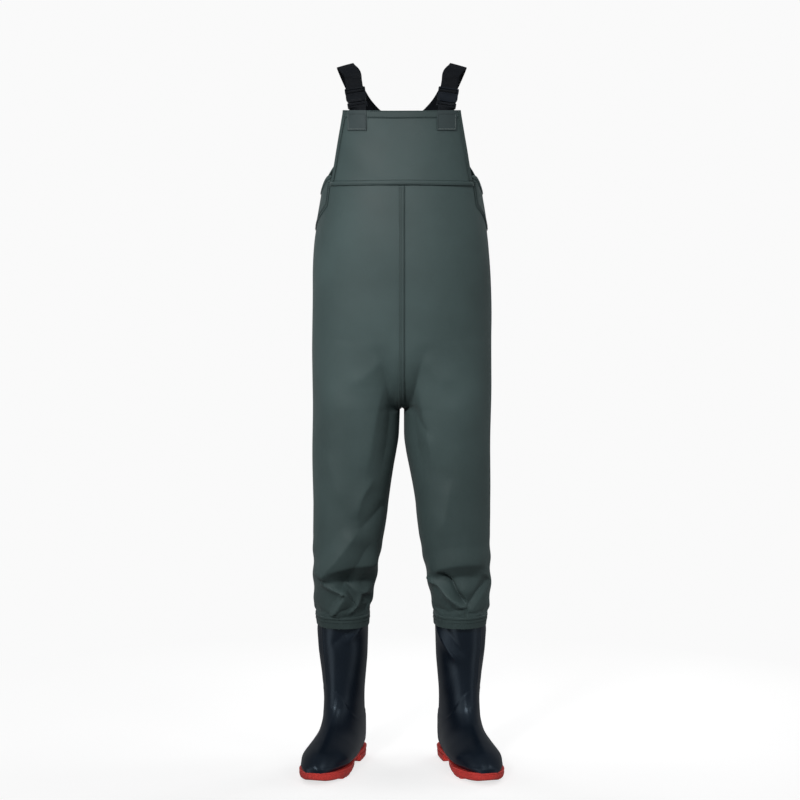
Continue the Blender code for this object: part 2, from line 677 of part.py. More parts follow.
def make_strap(side, webbing):
    """A flat strap swept along its route."""
    route = strap_route(side)
    places = [p for p, n in route]
    normals = [n for p, n in route]
    half, thick = WEBBING_WIDTH / 2, WEBBING_THICK / 2
    sections = 34
    bm = bmesh.new()
    rings = []
    for k in range(sections + 1):
        t = k / sections
        centre = catmull(places, t)
        tangent = (catmull(places, min(1, t + 0.004)) - catmull(places, max(0, t - 0.004))).normalized()
        across = tangent.cross(catmull(normals, t)).normalized()
        out = across.cross(tangent)
        corners = ((-half, -thick), (half, -thick), (half, thick), (-half, thick))
        rings.append([bm.verts.new(centre + across * a + out * b) for a, b in corners])
    for low, high in zip(rings, rings[1:]):
        for i in range(4):
            k = (i + 1) % 4
            bm.faces.new((low[i], low[k], high[k], high[i]))
    bm.faces.new(rings[0])
    bm.faces.new(rings[-1])
    bmesh.ops.recalc_face_normals(bm, faces=bm.faces)
    name = named(side, "shoulder_strap")
    mesh = bpy.data.meshes.new(name)
    bm.to_mesh(mesh)
    bm.free()
    add_object(name, mesh, webbing)


def make_cross_patch(material):
    """The stitched diamond that holds the straps together where they cross."""
    half, thick = 0.030, 0.0008
    centre = Vector((0, 0.129 + STRAP_CROSSING + 0.0042, 1.350))
    frame = Matrix.Translation(centre) @ Matrix.Rotation(math.radians(98), 4, "X")
    outline = ((half, 0), (0, half), (-half, 0), (0, -half))
    prism("strap_cross_patch", outline, -thick, thick, frame, material)


def make_braces(side, plastic, webbing, fabric):
    frame = buckle_frame(side)
    make_buckle_base(side, frame, plastic)
    for hand in (1, -1):
        make_prong(side, hand, frame, plastic)
    make_socket(side, frame, plastic)
    make_tab(side, frame, fabric)
    make_strap(side, webbing)


def make_back_tab(side, fabric):
    """The fabric patch that holds a strap's end to the top of the back."""
    half_width, low, high = 0.020, 1.268, 1.302
    centre_x = side * 0.066

    def point(u, v):
        x = centre_x + (1 - 2 * u) * half_width
        z = low + (high - low) * v
        reach = abs(x) / along(TORSO_HALF_WIDTH, z)
        depth = along(TORSO_BACK, z) * (1 - reach ** TORSO_SQUARENESS) ** (1 / TORSO_SQUARENESS)
        return Vector((x, depth, z))

    sheet(named(side, "back_strap_tab"), lifted(point, BACK_TAB_LIFT), 2, 4, OVERLAY, fabric)


def stand_on_origin():
    """Moves the whole object so that the bottom centre of its box is the origin."""
    floor = bpy.data.objects.new("floor_centre", None)
    bpy.context.scene.collection.objects.link(floor)
    for obj in bpy.data.objects:
        if obj.type == "MESH":
            obj.parent = floor
    floor.location = (0, AXIS_Y, 0)


def build():
    for obj in list(bpy.data.objects):
        bpy.data.objects.remove(obj)
    fabric = paint("coated_fabric", (0.075, 0.105, 0.105), 0.55)
    hem = paint("hem_fabric", (0.045, 0.065, 0.066), 0.55)
    webbing = paint("webbing", (0.008, 0.010, 0.013), 0.85)
    plastic = paint("buckle_plastic", (0.006, 0.008, 0.011), 0.40)
    rubber = paint("boot_rubber", (0.010, 0.013, 0.018), 0.30)
    red = paint("sole_rubber", (0.50, 0.045, 0.035), 0.50)
    knit = paint("lining_knit", (0.30, 0.30, 0.29), 0.95)
    foam = paint("insole_foam", (0.12, 0.12, 0.12), 0.90)

    make_bib(fabric, hem)
    make_centre_seams(hem)
    make_crotch_gusset(fabric)
    make_back_elastic(webbing)
    make_cross_patch(webbing)
    for side in (1, -1):
        torso_panel(side, "front_panel", SEAM_GAP_U, SIDE_SEAM_U - SEAM_GAP_U, 8, 12, fabric)
        torso_panel(side, "back_panel", SIDE_SEAM_U + SEAM_GAP_U, 1 - SEAM_GAP_U, 8, 10, fabric)
        make_side_patch(side, fabric)
        make_leg(side, fabric, hem)
        make_boot(side, rubber, red, knit, foam)
        make_braces(side, plastic, webbing, fabric)
        make_back_tab(side, fabric)
    stand_on_origin()


build()
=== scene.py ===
"""Chest waders: the cloth, boots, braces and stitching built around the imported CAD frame.

Shapes are worked out round the wearer's upright axis, for the wearer's left side (+X), with the front
facing -Y. Mesh code mirrors them for the right side, and moves them back by AXIS_Y into the CAD's frame.
Lengths are in metres, and mm() turns a table of millimetres into metres.
"""

import json
import math

import bpy
import numpy as np
from mathutils import Matrix, Vector


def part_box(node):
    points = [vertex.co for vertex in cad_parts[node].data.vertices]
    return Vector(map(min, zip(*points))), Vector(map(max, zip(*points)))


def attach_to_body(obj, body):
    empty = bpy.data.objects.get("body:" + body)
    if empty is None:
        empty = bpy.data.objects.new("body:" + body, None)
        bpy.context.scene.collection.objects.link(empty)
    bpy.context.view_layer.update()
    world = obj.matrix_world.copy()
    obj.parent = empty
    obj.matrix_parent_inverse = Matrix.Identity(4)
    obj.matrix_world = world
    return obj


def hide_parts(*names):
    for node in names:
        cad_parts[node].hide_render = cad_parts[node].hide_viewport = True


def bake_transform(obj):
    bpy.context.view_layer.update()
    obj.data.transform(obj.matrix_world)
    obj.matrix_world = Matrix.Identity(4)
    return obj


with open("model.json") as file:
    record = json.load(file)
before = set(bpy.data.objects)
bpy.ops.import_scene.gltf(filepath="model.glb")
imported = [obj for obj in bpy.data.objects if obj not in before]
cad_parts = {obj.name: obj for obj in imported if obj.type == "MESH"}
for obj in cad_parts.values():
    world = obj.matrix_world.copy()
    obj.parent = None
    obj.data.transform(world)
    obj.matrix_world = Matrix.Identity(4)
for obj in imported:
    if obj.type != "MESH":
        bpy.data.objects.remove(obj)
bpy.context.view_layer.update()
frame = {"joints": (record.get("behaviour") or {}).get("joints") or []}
JOINTS = {joint["name"]: joint for joint in frame["joints"]}
SIDES = (("left", 1), ("right", -1))


def mm(table):
    """A number, or a nested table of them, in thousandths."""
    return tuple(mm(row) for row in table) if isinstance(table, tuple) else round(table / 1000, 7)


# ---- heights and places, the first ones taken from the frame ----
AXIS_Y = JOINTS["left_hip"]["pos_m"][1]
CHEST_SEAM_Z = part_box("chest_seam_band")[0].z + 0.0055
BIB_TOP_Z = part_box("bib_panel")[1].z
CUFF_LOW_Z, CUFF_TOP_Z = (corner.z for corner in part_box("left_cuff_band"))
BACK_TOP_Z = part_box("left_back_panel")[1].z
CROTCH_Z = 0.775
JOIN_Z = 0.93  # where the leg's ring has become the torso's open ring
KNEE_SPLIT_Z = 0.57
DRAPE_TOP_Z = 0.6

# ---- sections of the cloth ----
TORSO_POWER = 2.5
LEG_POWER = 2.25
CLOTH = 0.0011
# Each row is a height and the value there.
TORSO_HALF_WIDTH = mm((
    (800, 190), (950, 191), (1050, 189), (1120, 185), (1174, 178), (1233, 168), (1300, 160), (1405, 155)))
TORSO_FRONT = mm((
    (780, 121), (900, 130), (1000, 138), (1100, 141), (1200, 137), (1250, 132), (1330, 121), (1405, 107)))
TORSO_BACK = mm(((780, 128), (900, 137), (1000, 129), (1100, 119), (1200, 118), (1310, 122)))
LEG_OUTER = mm(((307, 181.2), (340, 184.8), (400, 189), (500, 189), (600, 190), (775, 190)))
LEG_INNER = mm((
    (307, 70.8), (343, 68.8), (380, 62), (415, 56), (450, 50), (500, 40), (600, 25), (650, 16), (683, 9.8),
    (715, 5.6), (745, 4.6), (775, 3.8)))
LEG_HALF_DEPTH = mm((
    (307, 74), (360, 79), (420, 85), (500, 92), (600, 100), (700, 109.5), (775, 117.5), (850, 124.5),
    (930, 130)))
LEG_CENTRE_Y = mm(((307, 12), (400, 6), (500, 0), (700, 3), (930, 4)))
BIB_HALF_WIDTH = ((CHEST_SEAM_Z, 0.1465), (BIB_TOP_Z, 0.121))
BIB_EDGE_U = 0.329  # where the bib ends and the armhole starts, round the torso


# ---- numbers ----

def curve(stations, t):
    """The value at t of a smooth curve through (t, value) stations that never overshoots them."""
    xs, ys = np.array(stations, float).T
    gap = np.diff(xs)
    secant = np.diff(ys) / gap
    slope = np.zeros(len(xs))
    slope[0], slope[-1] = secant[0], secant[-1]
    for k in range(1, len(xs) - 1):
        if secant[k - 1] * secant[k] > 0:
            slope[k] = 2 * secant[k - 1] * secant[k] / (secant[k - 1] + secant[k])
    t = np.clip(np.asarray(t, float), xs[0], xs[-1])
    i = np.clip(np.searchsorted(xs, t, side="right") - 1, 0, len(xs) - 2)
    s = (t - xs[i]) / gap[i]
    rise = ys[i] * (1 + 2 * s) * (1 - s) ** 2 + ys[i + 1] * s * s * (3 - 2 * s)
    return rise + gap[i] * (slope[i] * s * (1 - s) ** 2 - slope[i + 1] * s * s * (1 - s))


def smooth(low, high, t):
    """0 below low, 1 above high, and an even S between them."""
    s = np.clip((np.asarray(t, float) - low) / (high - low), 0, 1)
    return s * s * (3 - 2 * s)


def bump(at, width, t):
    """1 at this place, dying away over this width."""
    return np.exp(-((t - at) / width) ** 2)


def signed_power(value, exponent):
    """A power that keeps the sign of its base, as a superellipse needs."""
    return np.sign(value) * np.abs(value) ** exponent


def unit(v):
    """Vectors along the last axis, made one long."""
    return v / np.maximum(np.linalg.norm(v, axis=-1, keepdims=True), 1e-12)


def travelled(path):
    """Distance along a path of points, from 0 at the first."""
    return np.concatenate([[0], np.cumsum(np.linalg.norm(np.diff(path, axis=0), axis=1))])


def spline(points, count):
    """count points, evenly spaced along a smooth curve through these points."""
    points = np.array(points, float)
    steps = 24
    s = (np.arange(steps) / steps)[:, None]
    fine = []
    for i in range(len(points) - 1):
        p0, p1 = points[max(i - 1, 0)], points[i]
        p2, p3 = points[i + 1], points[min(i + 2, len(points) - 1)]
        fine.append(0.5 * (2 * p1 + (p2 - p0) * s + (2 * p0 - 5 * p1 + 4 * p2 - p3) * s * s
                           + (3 * p1 - p0 - 3 * p2 + p3) * s ** 3))
    fine = np.vstack(fine + [points[-1:]])
    far = travelled(fine[:, :3])
    want = np.linspace(0, far[-1], count)
    return np.stack([np.interp(want, far, line) for line in fine.T], axis=1)


# ---- meshes ----

def attach(piece, body, slot, *nodes):
    """Rides a piece on a body and hides the CAD nodes it stands for. slot is not used."""
    if body:
        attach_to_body(piece, body)
    if nodes:
        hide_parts(*nodes)


def mesh_object(name, points, faces, material, side=1, uvs=None, normals=None, sharp=False):
    """A smooth mesh object. uvs are per vertex, and normals replace the ones Blender would work out."""
    points = np.array(points, float).reshape(-1, 3) * (side, 1, 1) + (0, AXIS_Y, 0)
    faces = [tuple(int(i) for i in face[::side]) for face in faces]
    mesh = bpy.data.meshes.new(name)
    mesh.from_pydata(points.tolist(), [], faces)
    if uvs is not None:
        layer = mesh.uv_layers.new(name="cloth")
        index = np.zeros(len(mesh.loops), int)
        mesh.loops.foreach_get("vertex_index", index)
        layer.data.foreach_set("uv", np.reshape(uvs, (-1, 2))[index].ravel())
    if not sharp:
        mesh.shade_smooth()
    mesh.materials.append(material)
    obj = bpy.data.objects.new(name, mesh)
    bpy.context.scene.collection.objects.link(obj)
    if normals is not None:
        mesh.normals_split_custom_set_from_vertices((np.reshape(normals, (-1, 3)) * (side, 1, 1)).tolist())
    return obj


def grid_normals(grid, closed=False):
    """Outward normals of a grid whose first index goes up and second goes round."""
    if closed:
        across = np.roll(grid, -1, axis=1) - np.roll(grid, 1, axis=1)
    else:
        across = np.gradient(grid, axis=1)
    return unit(np.cross(across, np.gradient(grid, axis=0)))


def grid_faces(rows, columns, closed=False, start=0, flip=False):
    """Quads between the points of a grid whose first point has the index start."""
    faces = []
    for j in range(rows - 1):
        for i in range(columns if closed else columns - 1):
            k = (i + 1) % columns
            quad = (j * columns + i, j * columns + k, (j + 1) * columns + k, (j + 1) * columns + i)
            faces.append(tuple(start + q for q in (quad[::-1] if flip else quad)))
    return faces


def lengths(grid):
    """(across, up) distances over a grid, in metres, as UVs that keep the weave's scale."""
    step_u = np.linalg.norm(np.diff(grid, axis=1), axis=2).mean(axis=0)
    step_v = np.linalg.norm(np.diff(grid, axis=0), axis=2).mean(axis=1)
    u, v = (np.concatenate([[0], np.cumsum(step)]) for step in (step_u, step_v))
    return np.stack(np.meshgrid(u, v), axis=2).reshape(-1, 2)


def sheet(name, grid, material, side=1, wall=CLOTH, closed=False, rims="udlr", normals=None):
    """A grid given a wall: an outer and an inner skin, joined along the rims named by up, down, left, right."""
    grid = np.asarray(grid, float)
    rows, columns = grid.shape[:2]
    normals = grid_normals(grid, closed) if normals is None else normals
    points = np.concatenate([skin.reshape(-1, 3) for skin in (grid, grid - normals * wall)])
    count = rows * columns
    faces = grid_faces(rows, columns, closed) + grid_faces(rows, columns, closed, start=count, flip=True)
    index = np.arange(count).reshape(rows, columns)
    around = np.arange(columns + closed) % columns
    borders = {"u": index[-1, around], "d": index[0, around][::-1], "l": index[:, 0], "r": index[::-1, -1]}
    for rim in ("ud" if closed else rims):
        if rim in rims:
            line = borders[rim]
            faces += [(a, b, b + count, a + count) for a, b in zip(line, line[1:])]
    both = np.concatenate([normals.reshape(-1, 3), -normals.reshape(-1, 3)])
    return mesh_object(name, points, faces, material, side, np.concatenate([lengths(grid)] * 2), both)


def strip(name, path, normals, half_width, material, side=1, wall=0.0014, crown=0.0, across=7):
    """A flat band along a path, with rounded edges and capped ends."""
    tangent = unit(np.gradient(path, axis=0))
    sideways = unit(np.cross(tangent, unit(normals)))
    out = np.cross(sideways, tangent)
    shares = np.linspace(-1, 1, across)
    ring = [(-1.0, 0.0)] + [(a * 0.985, 0.5 + crown / wall * (1 - a * a)) for a in shares]
    ring += [(1.0, 0.0)] + [(a * 0.985, -0.5) for a in shares[::-1]]
    grid = np.stack([path + sideways * a * half_width + out * (h * wall) for a, h in ring], axis=1)
    rows, columns = grid.shape[:2]
    faces = grid_faces(rows, columns, closed=True)
    faces += [tuple(range(columns))[::-1], tuple(range((rows - 1) * columns, rows * columns))]
    return mesh_object(name, grid, faces, material, side, lengths(grid))


def stitches(name, paths, normals, material, side=1, pitch=0.0042, length=0.003, width=0.00055):
    """Thread along paths: a low rounded lozenge for each stitch."""
    points, faces = [], []
    for path, out in zip(paths, normals):
        far = travelled(path)
        for at in np.arange(pitch / 2, far[-1] - length / 2, pitch):
            ends = [np.array([np.interp(at + d, far, line) for line in np.transpose(path)])
                    for d in (-length / 2, length / 2)]
            up = unit(np.array([np.interp(at, far, line) for line in np.transpose(out)]))
            over = unit(np.cross(unit(ends[1] - ends[0]), up))
            middle = (ends[0] + ends[1]) / 2
            base = len(points)
            points += [ends[0], middle + over * width, middle + up * width * 1.2, middle - over * width,
                       middle - up * width, ends[1]]
            for k in range(4):
                m = (k + 1) % 4
                faces += [(base, base + 1 + m, base + 1 + k), (base + 5, base + 1 + k, base + 1 + m)]
    return mesh_object(name, points, faces, material, side)


# ---- materials ----

def tone(colour, gain, lift=0.0):
    """A colour made lighter or darker, keeping its hue: lift is added to its strongest channel."""
    gain += lift / max(colour)
    return tuple(min(1.0, c * gain) for c in colour)


class Nodes:
    """A short way to write a material's nodes."""

    def __init__(self, name):
        self.material = bpy.data.materials.new(name)
        self.material.use_nodes = True
        self.tree = self.material.node_tree
        self.shader = self.tree.nodes["Principled BSDF"]

    def fill(self, node, inputs):
        """Sets a node's inputs to values, or links them to another node's output."""
        for key, value in inputs.items():
            if isinstance(value, bpy.types.NodeSocket):
                self.tree.links.new(value, node.inputs[key])
            else:
                node.inputs[key].default_value = value

    def add(self, kind, inputs=None, **settings):
        node = self.tree.nodes.new(kind)
        for key, value in settings.items():
            setattr(node, key, value)
        self.fill(node, inputs or {})
        return node

    def finish(self, **inputs):
        """Sets the shader's inputs, named with _ for each space, and gives the material."""
        self.fill(self.shader, {key.replace("_", " "): value for key, value in inputs.items()})
        return self.material

    def math(self, operation, a, b):
        return self.add("ShaderNodeMath", {0: a, 1: b}, operation=operation).outputs[0]

    def coords(self, which="Object", scale=(1, 1, 1)):
        source = self.add("ShaderNodeTexCoord").outputs[which]
        return self.add("ShaderNodeMapping", {"Vector": source, "Scale": scale}).outputs[0]

    def noise(self, vector, scale, detail=3.0, roughness=0.5):
        settings = {"Vector": vector, "Scale": scale, "Detail": detail, "Roughness": roughness}
        return self.add("ShaderNodeTexNoise", settings).outputs["Fac"]

    def bands(self, vector, scale, direction, distortion=0.0):
        settings = {"Vector": vector, "Scale": scale, "Distortion": distortion}
        return self.add("ShaderNodeTexWave", settings, bands_direction=direction).outputs["Fac"]

    def mix(self, factor, a, b):
        """A mix of two colours, each a socket or a triple."""
        a, b = (c if isinstance(c, bpy.types.NodeSocket) else (*c, 1.0) for c in (a, b))
        return self.add("ShaderNodeMix", {0: factor, 6: a, 7: b}, data_type="RGBA").outputs[2]

    def spread(self, value, low, high, out_low, out_high):
        settings = {"Value": value, "From Min": low, "From Max": high, "To Min": out_low, "To Max": out_high}
        return self.add("ShaderNodeMapRange", settings).outputs[0]

    def edge_wear_and_highlight(self, low, high, most):
        """How far edges that stand out are painted paler: rubbed wear, and a painted highlight along them."""
        return self.spread(self.add("ShaderNodeNewGeometry").outputs["Pointiness"], low, high, 0.0, most)

    def bump(self, height, strength, distance, onto=None):
        inputs = {"Height": height, "Strength": strength, "Distance": distance}
        if onto is not None:
            inputs["Normal"] = onto
        return self.add("ShaderNodeBump", inputs).outputs[0]


def coated_fabric(name, colour, roughness=0.6, weave=0.00085):
    """Woven nylon with a rubbery coat: a fine weave under a slight mottle, painted paler where it stands out,
    as rubbed wear and as a painted highlight on hems and fold crests.
    """
    n = Nodes(name)
    cloth, space = n.coords("UV"), n.coords()
    broad = n.noise(space, 7.0, 4.0)
    fine = n.noise(space, 260.0, 3.0, 0.65)
    threads = n.math("MULTIPLY", n.bands(cloth, 1 / weave / 2, "X"), n.bands(cloth, 1 / weave / 2, "Y"))
    base = n.mix(n.spread(broad, 0.3, 0.7, 0.0, 1.0), tone(colour, 0.84), tone(colour, 1.13))
    base = n.mix(n.spread(fine, 0.35, 0.75, 0.0, 0.16), base, tone(colour, 1.5))
    # edges that stand out painted paler: rubbed wear, and a painted highlight on hems and fold crests
    base = n.mix(n.edge_wear_and_highlight(0.515, 0.6, 0.35), base, tuple(c * 1.7 + 0.01 for c in colour))
    rough = n.math("ADD", n.spread(fine, 0.3, 0.7, -0.05, 0.06),
                   n.spread(broad, 0.3, 0.7, roughness - 0.04, roughness + 0.05))
    lumpy = n.bump(n.noise(space, 34.0, 3.0, 0.55), 0.25, 0.0016)
    grain = n.bump(fine, 0.2, 0.0003, lumpy)
    return n.finish(Base_Color=base, Roughness=rough, Normal=n.bump(threads, 0.22, 0.00022, grain),
                    Sheen_Weight=0.04, Sheen_Roughness=0.5, Specular_IOR_Level=0.33)


def webbing(name, colour, ribs=0.0021):
    """Tightly woven strap or thread: ribs across it and a diagonal twill under a slight fuzz."""
    n = Nodes(name)
    cloth = n.coords("UV")
    weave = n.math("MULTIPLY", n.bands(cloth, 1 / ribs / 2, "Y", 1.5),
                   n.bands(cloth, 1 / ribs / 1.6, "DIAGONAL", 0.6))
    fuzz = n.noise(n.coords(), 900.0, 2.0, 0.7)
    base = n.mix(weave, tone(colour, 0.55), tone(colour, 1.5))
    base = n.mix(n.spread(fuzz, 0.5, 0.8, 0.0, 0.2), base, tuple(c * 2 + 0.004 for c in colour))
    return n.finish(Base_Color=base, Roughness=n.spread(fuzz, 0.3, 0.7, 0.62, 0.9), Specular_IOR_Level=0.22,
                    Normal=n.bump(weave, 0.55, 0.0005, n.bump(fuzz, 0.3, 0.0002)))


def moulded(name, colour, roughness, grain, depth, swirl, wear, shine=0.5, tint=(1.0, 1.0, 1.0)):
    """Moulded rubber or plastic: fine pitting, slow waves in its gloss, dull scuffs and paler edges."""
    n = Nodes(name)
    space = n.coords()
    pits = n.noise(space, grain, 4.0, 0.6)
    waves = n.noise(space, swirl, 3.0, 0.5)
    streaks = n.noise(n.coords("Object", (30, 30, 190)), 1.0, 5.0, 0.7)
    scuffs = n.spread(streaks, 0.58, 0.78, 0.0, wear)
    base = n.mix(n.spread(waves, 0.3, 0.7, 0.0, 1.0), tone(colour, 0.86), tone(colour, 1.12))
    base = n.mix(scuffs, base, tone(colour, 1.35, 0.01))
    # edges that stand out painted paler: rubbed wear, and a painted highlight along them
    base = n.mix(n.edge_wear_and_highlight(0.52, 0.62, 0.4), base, tone(colour, 1.5, 0.016))
    rough = n.math("ADD", n.spread(waves, 0.3, 0.7, roughness - 0.03, roughness + 0.04),
                   n.math("MULTIPLY", scuffs, 0.5))
    return n.finish(Base_Color=base, Roughness=rough, Specular_IOR_Level=shine, Specular_Tint=(*tint, 1.0),
                    Normal=n.bump(pits, 0.25, depth, n.bump(waves, 0.12, 0.002)))


def knit(name, colour, loop=0.0016):
    """Brushed knit or felt: rows of loops under a fuzz."""
    n = Nodes(name)
    cloth = n.coords("UV")
    loops = n.math("MULTIPLY", *(n.bands(cloth, 1 / loop / 2, way, 2.0) for way in "YX"))
    fuzz = n.noise(n.coords(), 500.0, 3.0, 0.7)
    base = n.mix(loops, tone(colour, 0.6), tone(colour, 1.2))
    base = n.mix(n.spread(fuzz, 0.4, 0.8, 0.0, 0.3), base, tone(colour, 1.5))
    return n.finish(Base_Color=base, Roughness=n.spread(fuzz, 0.3, 0.7, 0.85, 1.0),
                    Normal=n.bump(loops, 0.6, 0.0006, n.bump(fuzz, 0.3, 0.0002)))


FABRIC = coated_fabric("wader_fabric", (0.05, 0.078, 0.077))
HEM = coated_fabric("hem_fabric", (0.042, 0.066, 0.065), 0.62)
PATCH = coated_fabric("tab_fabric", (0.038, 0.056, 0.058), 0.64, 0.0011)
WEBBING = webbing("brace_webbing", (0.0042, 0.0062, 0.0095))
ELASTIC = webbing("back_elastic", (0.009, 0.011, 0.014), 0.0016)
PLASTIC = moulded("buckle_plastic", (0.0035, 0.0052, 0.008), roughness=0.36, grain=900.0, depth=0.00008,
                  swirl=60.0, wear=0.08, shine=0.3)
RUBBER = moulded("boot_rubber", (0.0022, 0.005, 0.011), roughness=0.36, grain=520.0, depth=0.0001,
                 swirl=14.0, wear=0.1, shine=0.68, tint=(0.66, 0.84, 1.0))
RED = moulded("sole_rubber", (0.6, 0.05, 0.042), roughness=0.46, grain=380.0, depth=0.00018, swirl=30.0,
              wear=0.35)
THREAD = webbing("dark_thread", (0.018, 0.028, 0.029), 0.0006)
PALE_THREAD = webbing("pale_thread", (0.4, 0.48, 0.46), 0.0006)
LINING = knit("boot_lining_knit", (0.3, 0.3, 0.29))
FOAM = knit("insole_felt", (0.12, 0.12, 0.12), 0.0024)


# ---- folds ----

def fold(points, path, height, left, right, ledge=0.0, ends=(0.25, 0.25)):
    """How far a fold along a path lifts each point (x, z) of the cloth's front view.

    height lifts a crest (or sinks a crease) that dies away over the reaches left and right of the path.
    ledge stands the left side proud with a crisp edge at the path, and drops the right side into a pocket.
    """
    line = spline(path, 26)
    best = np.full(len(points), 1e9)
    signed, place = np.zeros((2, len(points)))
    for k, (a, d) in enumerate(zip(line, np.diff(line, axis=0))):
        along = np.clip(((points - a) @ d) / (d @ d), 0, 1)
        away = points - a - along[:, None] * d
        distance = np.linalg.norm(away, axis=1)
        closer = distance < best
        cross = d[0] * away[:, 1] - d[1] * away[:, 0]
        best[closer] = distance[closer]
        signed[closer] = (np.sign(cross) * distance)[closer]
        place[closer] = ((k + along) / (len(line) - 1))[closer]
    s = signed / np.where(signed > 0, left, right)
    fade = smooth(0, ends[0], place) * smooth(0, ends[1], 1 - place)
    crest = np.exp(-1.3 * np.abs(s) ** 1.3)
    pocket = np.where(s > -1, 0.6 + 1.7 * s, -1.1 * (1 - smooth(1, 2.3, -s)))
    shelf = np.where(s > 0, 0.6 * (1 - smooth(0, 1.6, s)), pocket)
    return fade * (height * crest + ledge * shelf)


FOLD_DEPTH = 1.35
# Folds, in millimetres: path of (x, z), then (height of the crest, reach left, reach right, ledge), and last
# the share of the path over which each end dies away.
RIGHT_LEG_FOLDS = (
    (((-166, 406), (-157, 423), (-143, 434), (-124, 440), (-100, 442.5), (-75, 444), (-48, 445.5)),
     (1, 36, 40, 12.5), (0.1, 0.02)),
    (((-166, 408), (-154, 432), (-136, 460), (-112, 494), (-88, 526)), (2.6, 22, 40, 7), (0.12, 0.25)),
    (((-28, 580), (-60, 548), (-94, 520)), (-3.4, 17, 17, 0), (0.2, 0.25)),
    (((-168, 409.5), (-156, 400), (-141, 393), (-122.5, 384.5)), (8.5, 8, 8, 0), (0.06, 0.06)),
    (((-152, 332), (-138, 351), (-125, 371), (-120.5, 384), (-113, 400)), (3.6, 8, 46, 8), (0.16, 0.1)),
    (((-118, 334), (-98, 352), (-79, 374), (-54, 398)), (5, 7, 12, 1), (0.2, 0.1)),
    (((-6, 860), (-18, 790), (-30, 700), (-50, 620)), (-4, 24, 20, 0), (0.3, 0.35)),
    (((-30, 860), (-52, 780), (-66, 700), (-80, 610)), (3.4, 18, 24, 0), (0.35, 0.35)),
    (((-160, 700), (-140, 620), (-120, 560)), (2.8, 26, 24, 0), (0.35, 0.35)),
    (((-55, 640), (-85, 590), (-96, 540)), (4, 14, 20, 0), (0.3, 0.3)),
    (((-30, 900), (-80, 850), (-130, 830)), (2.4, 24, 22, 0), (0.3, 0.35)),
)
LEFT_LEG_FOLDS = (
    (((45, 412), (59, 423), (74, 433), (93, 440.5), (113, 445.5), (135, 447.5), (154, 447), (172, 442.5),
       (186, 437)), (0.6, 28, 28, 6), (0.12, 0.2)),
    (((75, 428.5), (98, 406), (119, 380), (137, 356)), (-15, 7, 8.5, 0), (0.15, 0.14)),
    (((52, 417), (84, 396), (110, 371), (136, 352)), (10.5, 6.5, 12, 0), (0.06, 0.14)),
    (((138.5, 353), (153, 372), (170, 393), (187, 413)), (-6.6, 14, 6, 1.2), (0.08, 0.06)),
    (((138, 354), (138.5, 340), (139, 323)), (-2.6, 5, 5, 0), (0.12, 0.2)),
    (((36, 458), (47, 436), (60, 414)), (-5, 9, 8, 0), (0.15, 0.25)),
    (((6, 860), (18, 790), (32, 700), (46, 620)), (-4, 20, 24, 0), (0.3, 0.35)),
    (((28, 862), (44, 780), (60, 700), (66, 630)), (3.6, 20, 16, 0), (0.35, 0.35)),
    (((20, 790), (45, 745), (70, 715)), (-2.6, 12, 12, 0), (0.25, 0.4)),
    (((105, 640), (92, 560), (78, 490)), (3.2, 22, 22, 0), (0.3, 0.35)),
    (((34, 905), (80, 850), (128, 838)), (2.4, 24, 22, 0), (0.3, 0.35)),
)
# The backs of both legs: behind the knees and under the seat.
BACK_FOLDS = (
    (((45, 505), (85, 488), (130, 492), (180, 512)), (0, 20, 18, 5.5), (0.12, 0.12)),
    (((50, 462), (95, 448), (140, 452), (182, 470)), (0, 16, 15, 5), (0.12, 0.12)),
    (((60, 412), (100, 424), (150, 404), (184, 414)), (0, 14, 13, 4.5), (0.1, 0.1)),
    (((70, 372), (110, 364), (150, 376), (180, 366)), (0, 11, 10, 3.5), (0.12, 0.12)),
    (((12, 800), (60, 772), (120, 782), (175, 812)), (0, 22, 18, 4.5), (0.15, 0.3)),
    (((20, 755), (70, 728), (120, 735)), (0, 20, 16, 3.5), (0.2, 0.35)),
    (((20, 700), (60, 640), (75, 560)), (4, 18, 18, 0), (0.3, 0.3)),
    (((12, 880), (60, 850), (130, 870)), (-3.5, 20, 24, 0), (0.2, 0.4)),
    (((30, 1180), (70, 1120), (120, 1075)), (3.2, 22, 22, 0), (0.3, 0.3)),
    (((160, 1150), (130, 1080), (110, 1000)), (3.4, 24, 24, 0), (0.3, 0.3)),
)


def folded(points, normals, side):
    """Points of a half of the body moved along their normals by every fold."""
    flat = points.reshape(-1, 3)
    facing = normals.reshape(-1, 3)[:, 1]
    z = flat[:, 2]
    front, behind = smooth(0.1, 0.55, -facing), smooth(0.1, 0.55, facing)

    def lifted(folds, hand):
        where = flat[:, [0, 2]] * (hand, 1)
        return sum(fold(where, mm(path), *mm(sizes), ends) for path, sizes, ends in folds)

    lift = FOLD_DEPTH * front * lifted(LEFT_LEG_FOLDS if side > 0 else RIGHT_LEG_FOLDS, side)
    lift *= smooth(0.316, 0.34, z)
    lift = np.maximum(lift, -0.005 - 0.025 * smooth(0.35, 0.39, z))  # never down to the boot inside
    lift += behind * lifted(BACK_FOLDS, 1)
    low = smooth(0.325, 0.36, z) * smooth(0.52, 0.44, z)
    lift += (1 - front) * (1 - behind) * low * 0.0014 * np.sin(z * 112 + flat[:, 1] * 30 + side)
    soft = np.sin(z * 21 + flat[:, 0] * 17 * side) * np.sin(z * 9 + flat[:, 1] * 31 + side)
    lift += 0.0013 * soft * smooth(1.24, 1.15, z) * smooth(0.32, 0.4, z)
    return points + normals * lift.reshape(points.shape[:2] + (1,))


# ---- the body cloth ----

def torso_depth(x, z, profile):
    """How far the torso's cloth is from the upright axis at x, in front or behind."""
    reach = np.minimum(1, np.abs(x) / curve(TORSO_HALF_WIDTH, z))
    return curve(profile, z) * (1 - reach ** TORSO_POWER) ** (1 / TORSO_POWER)


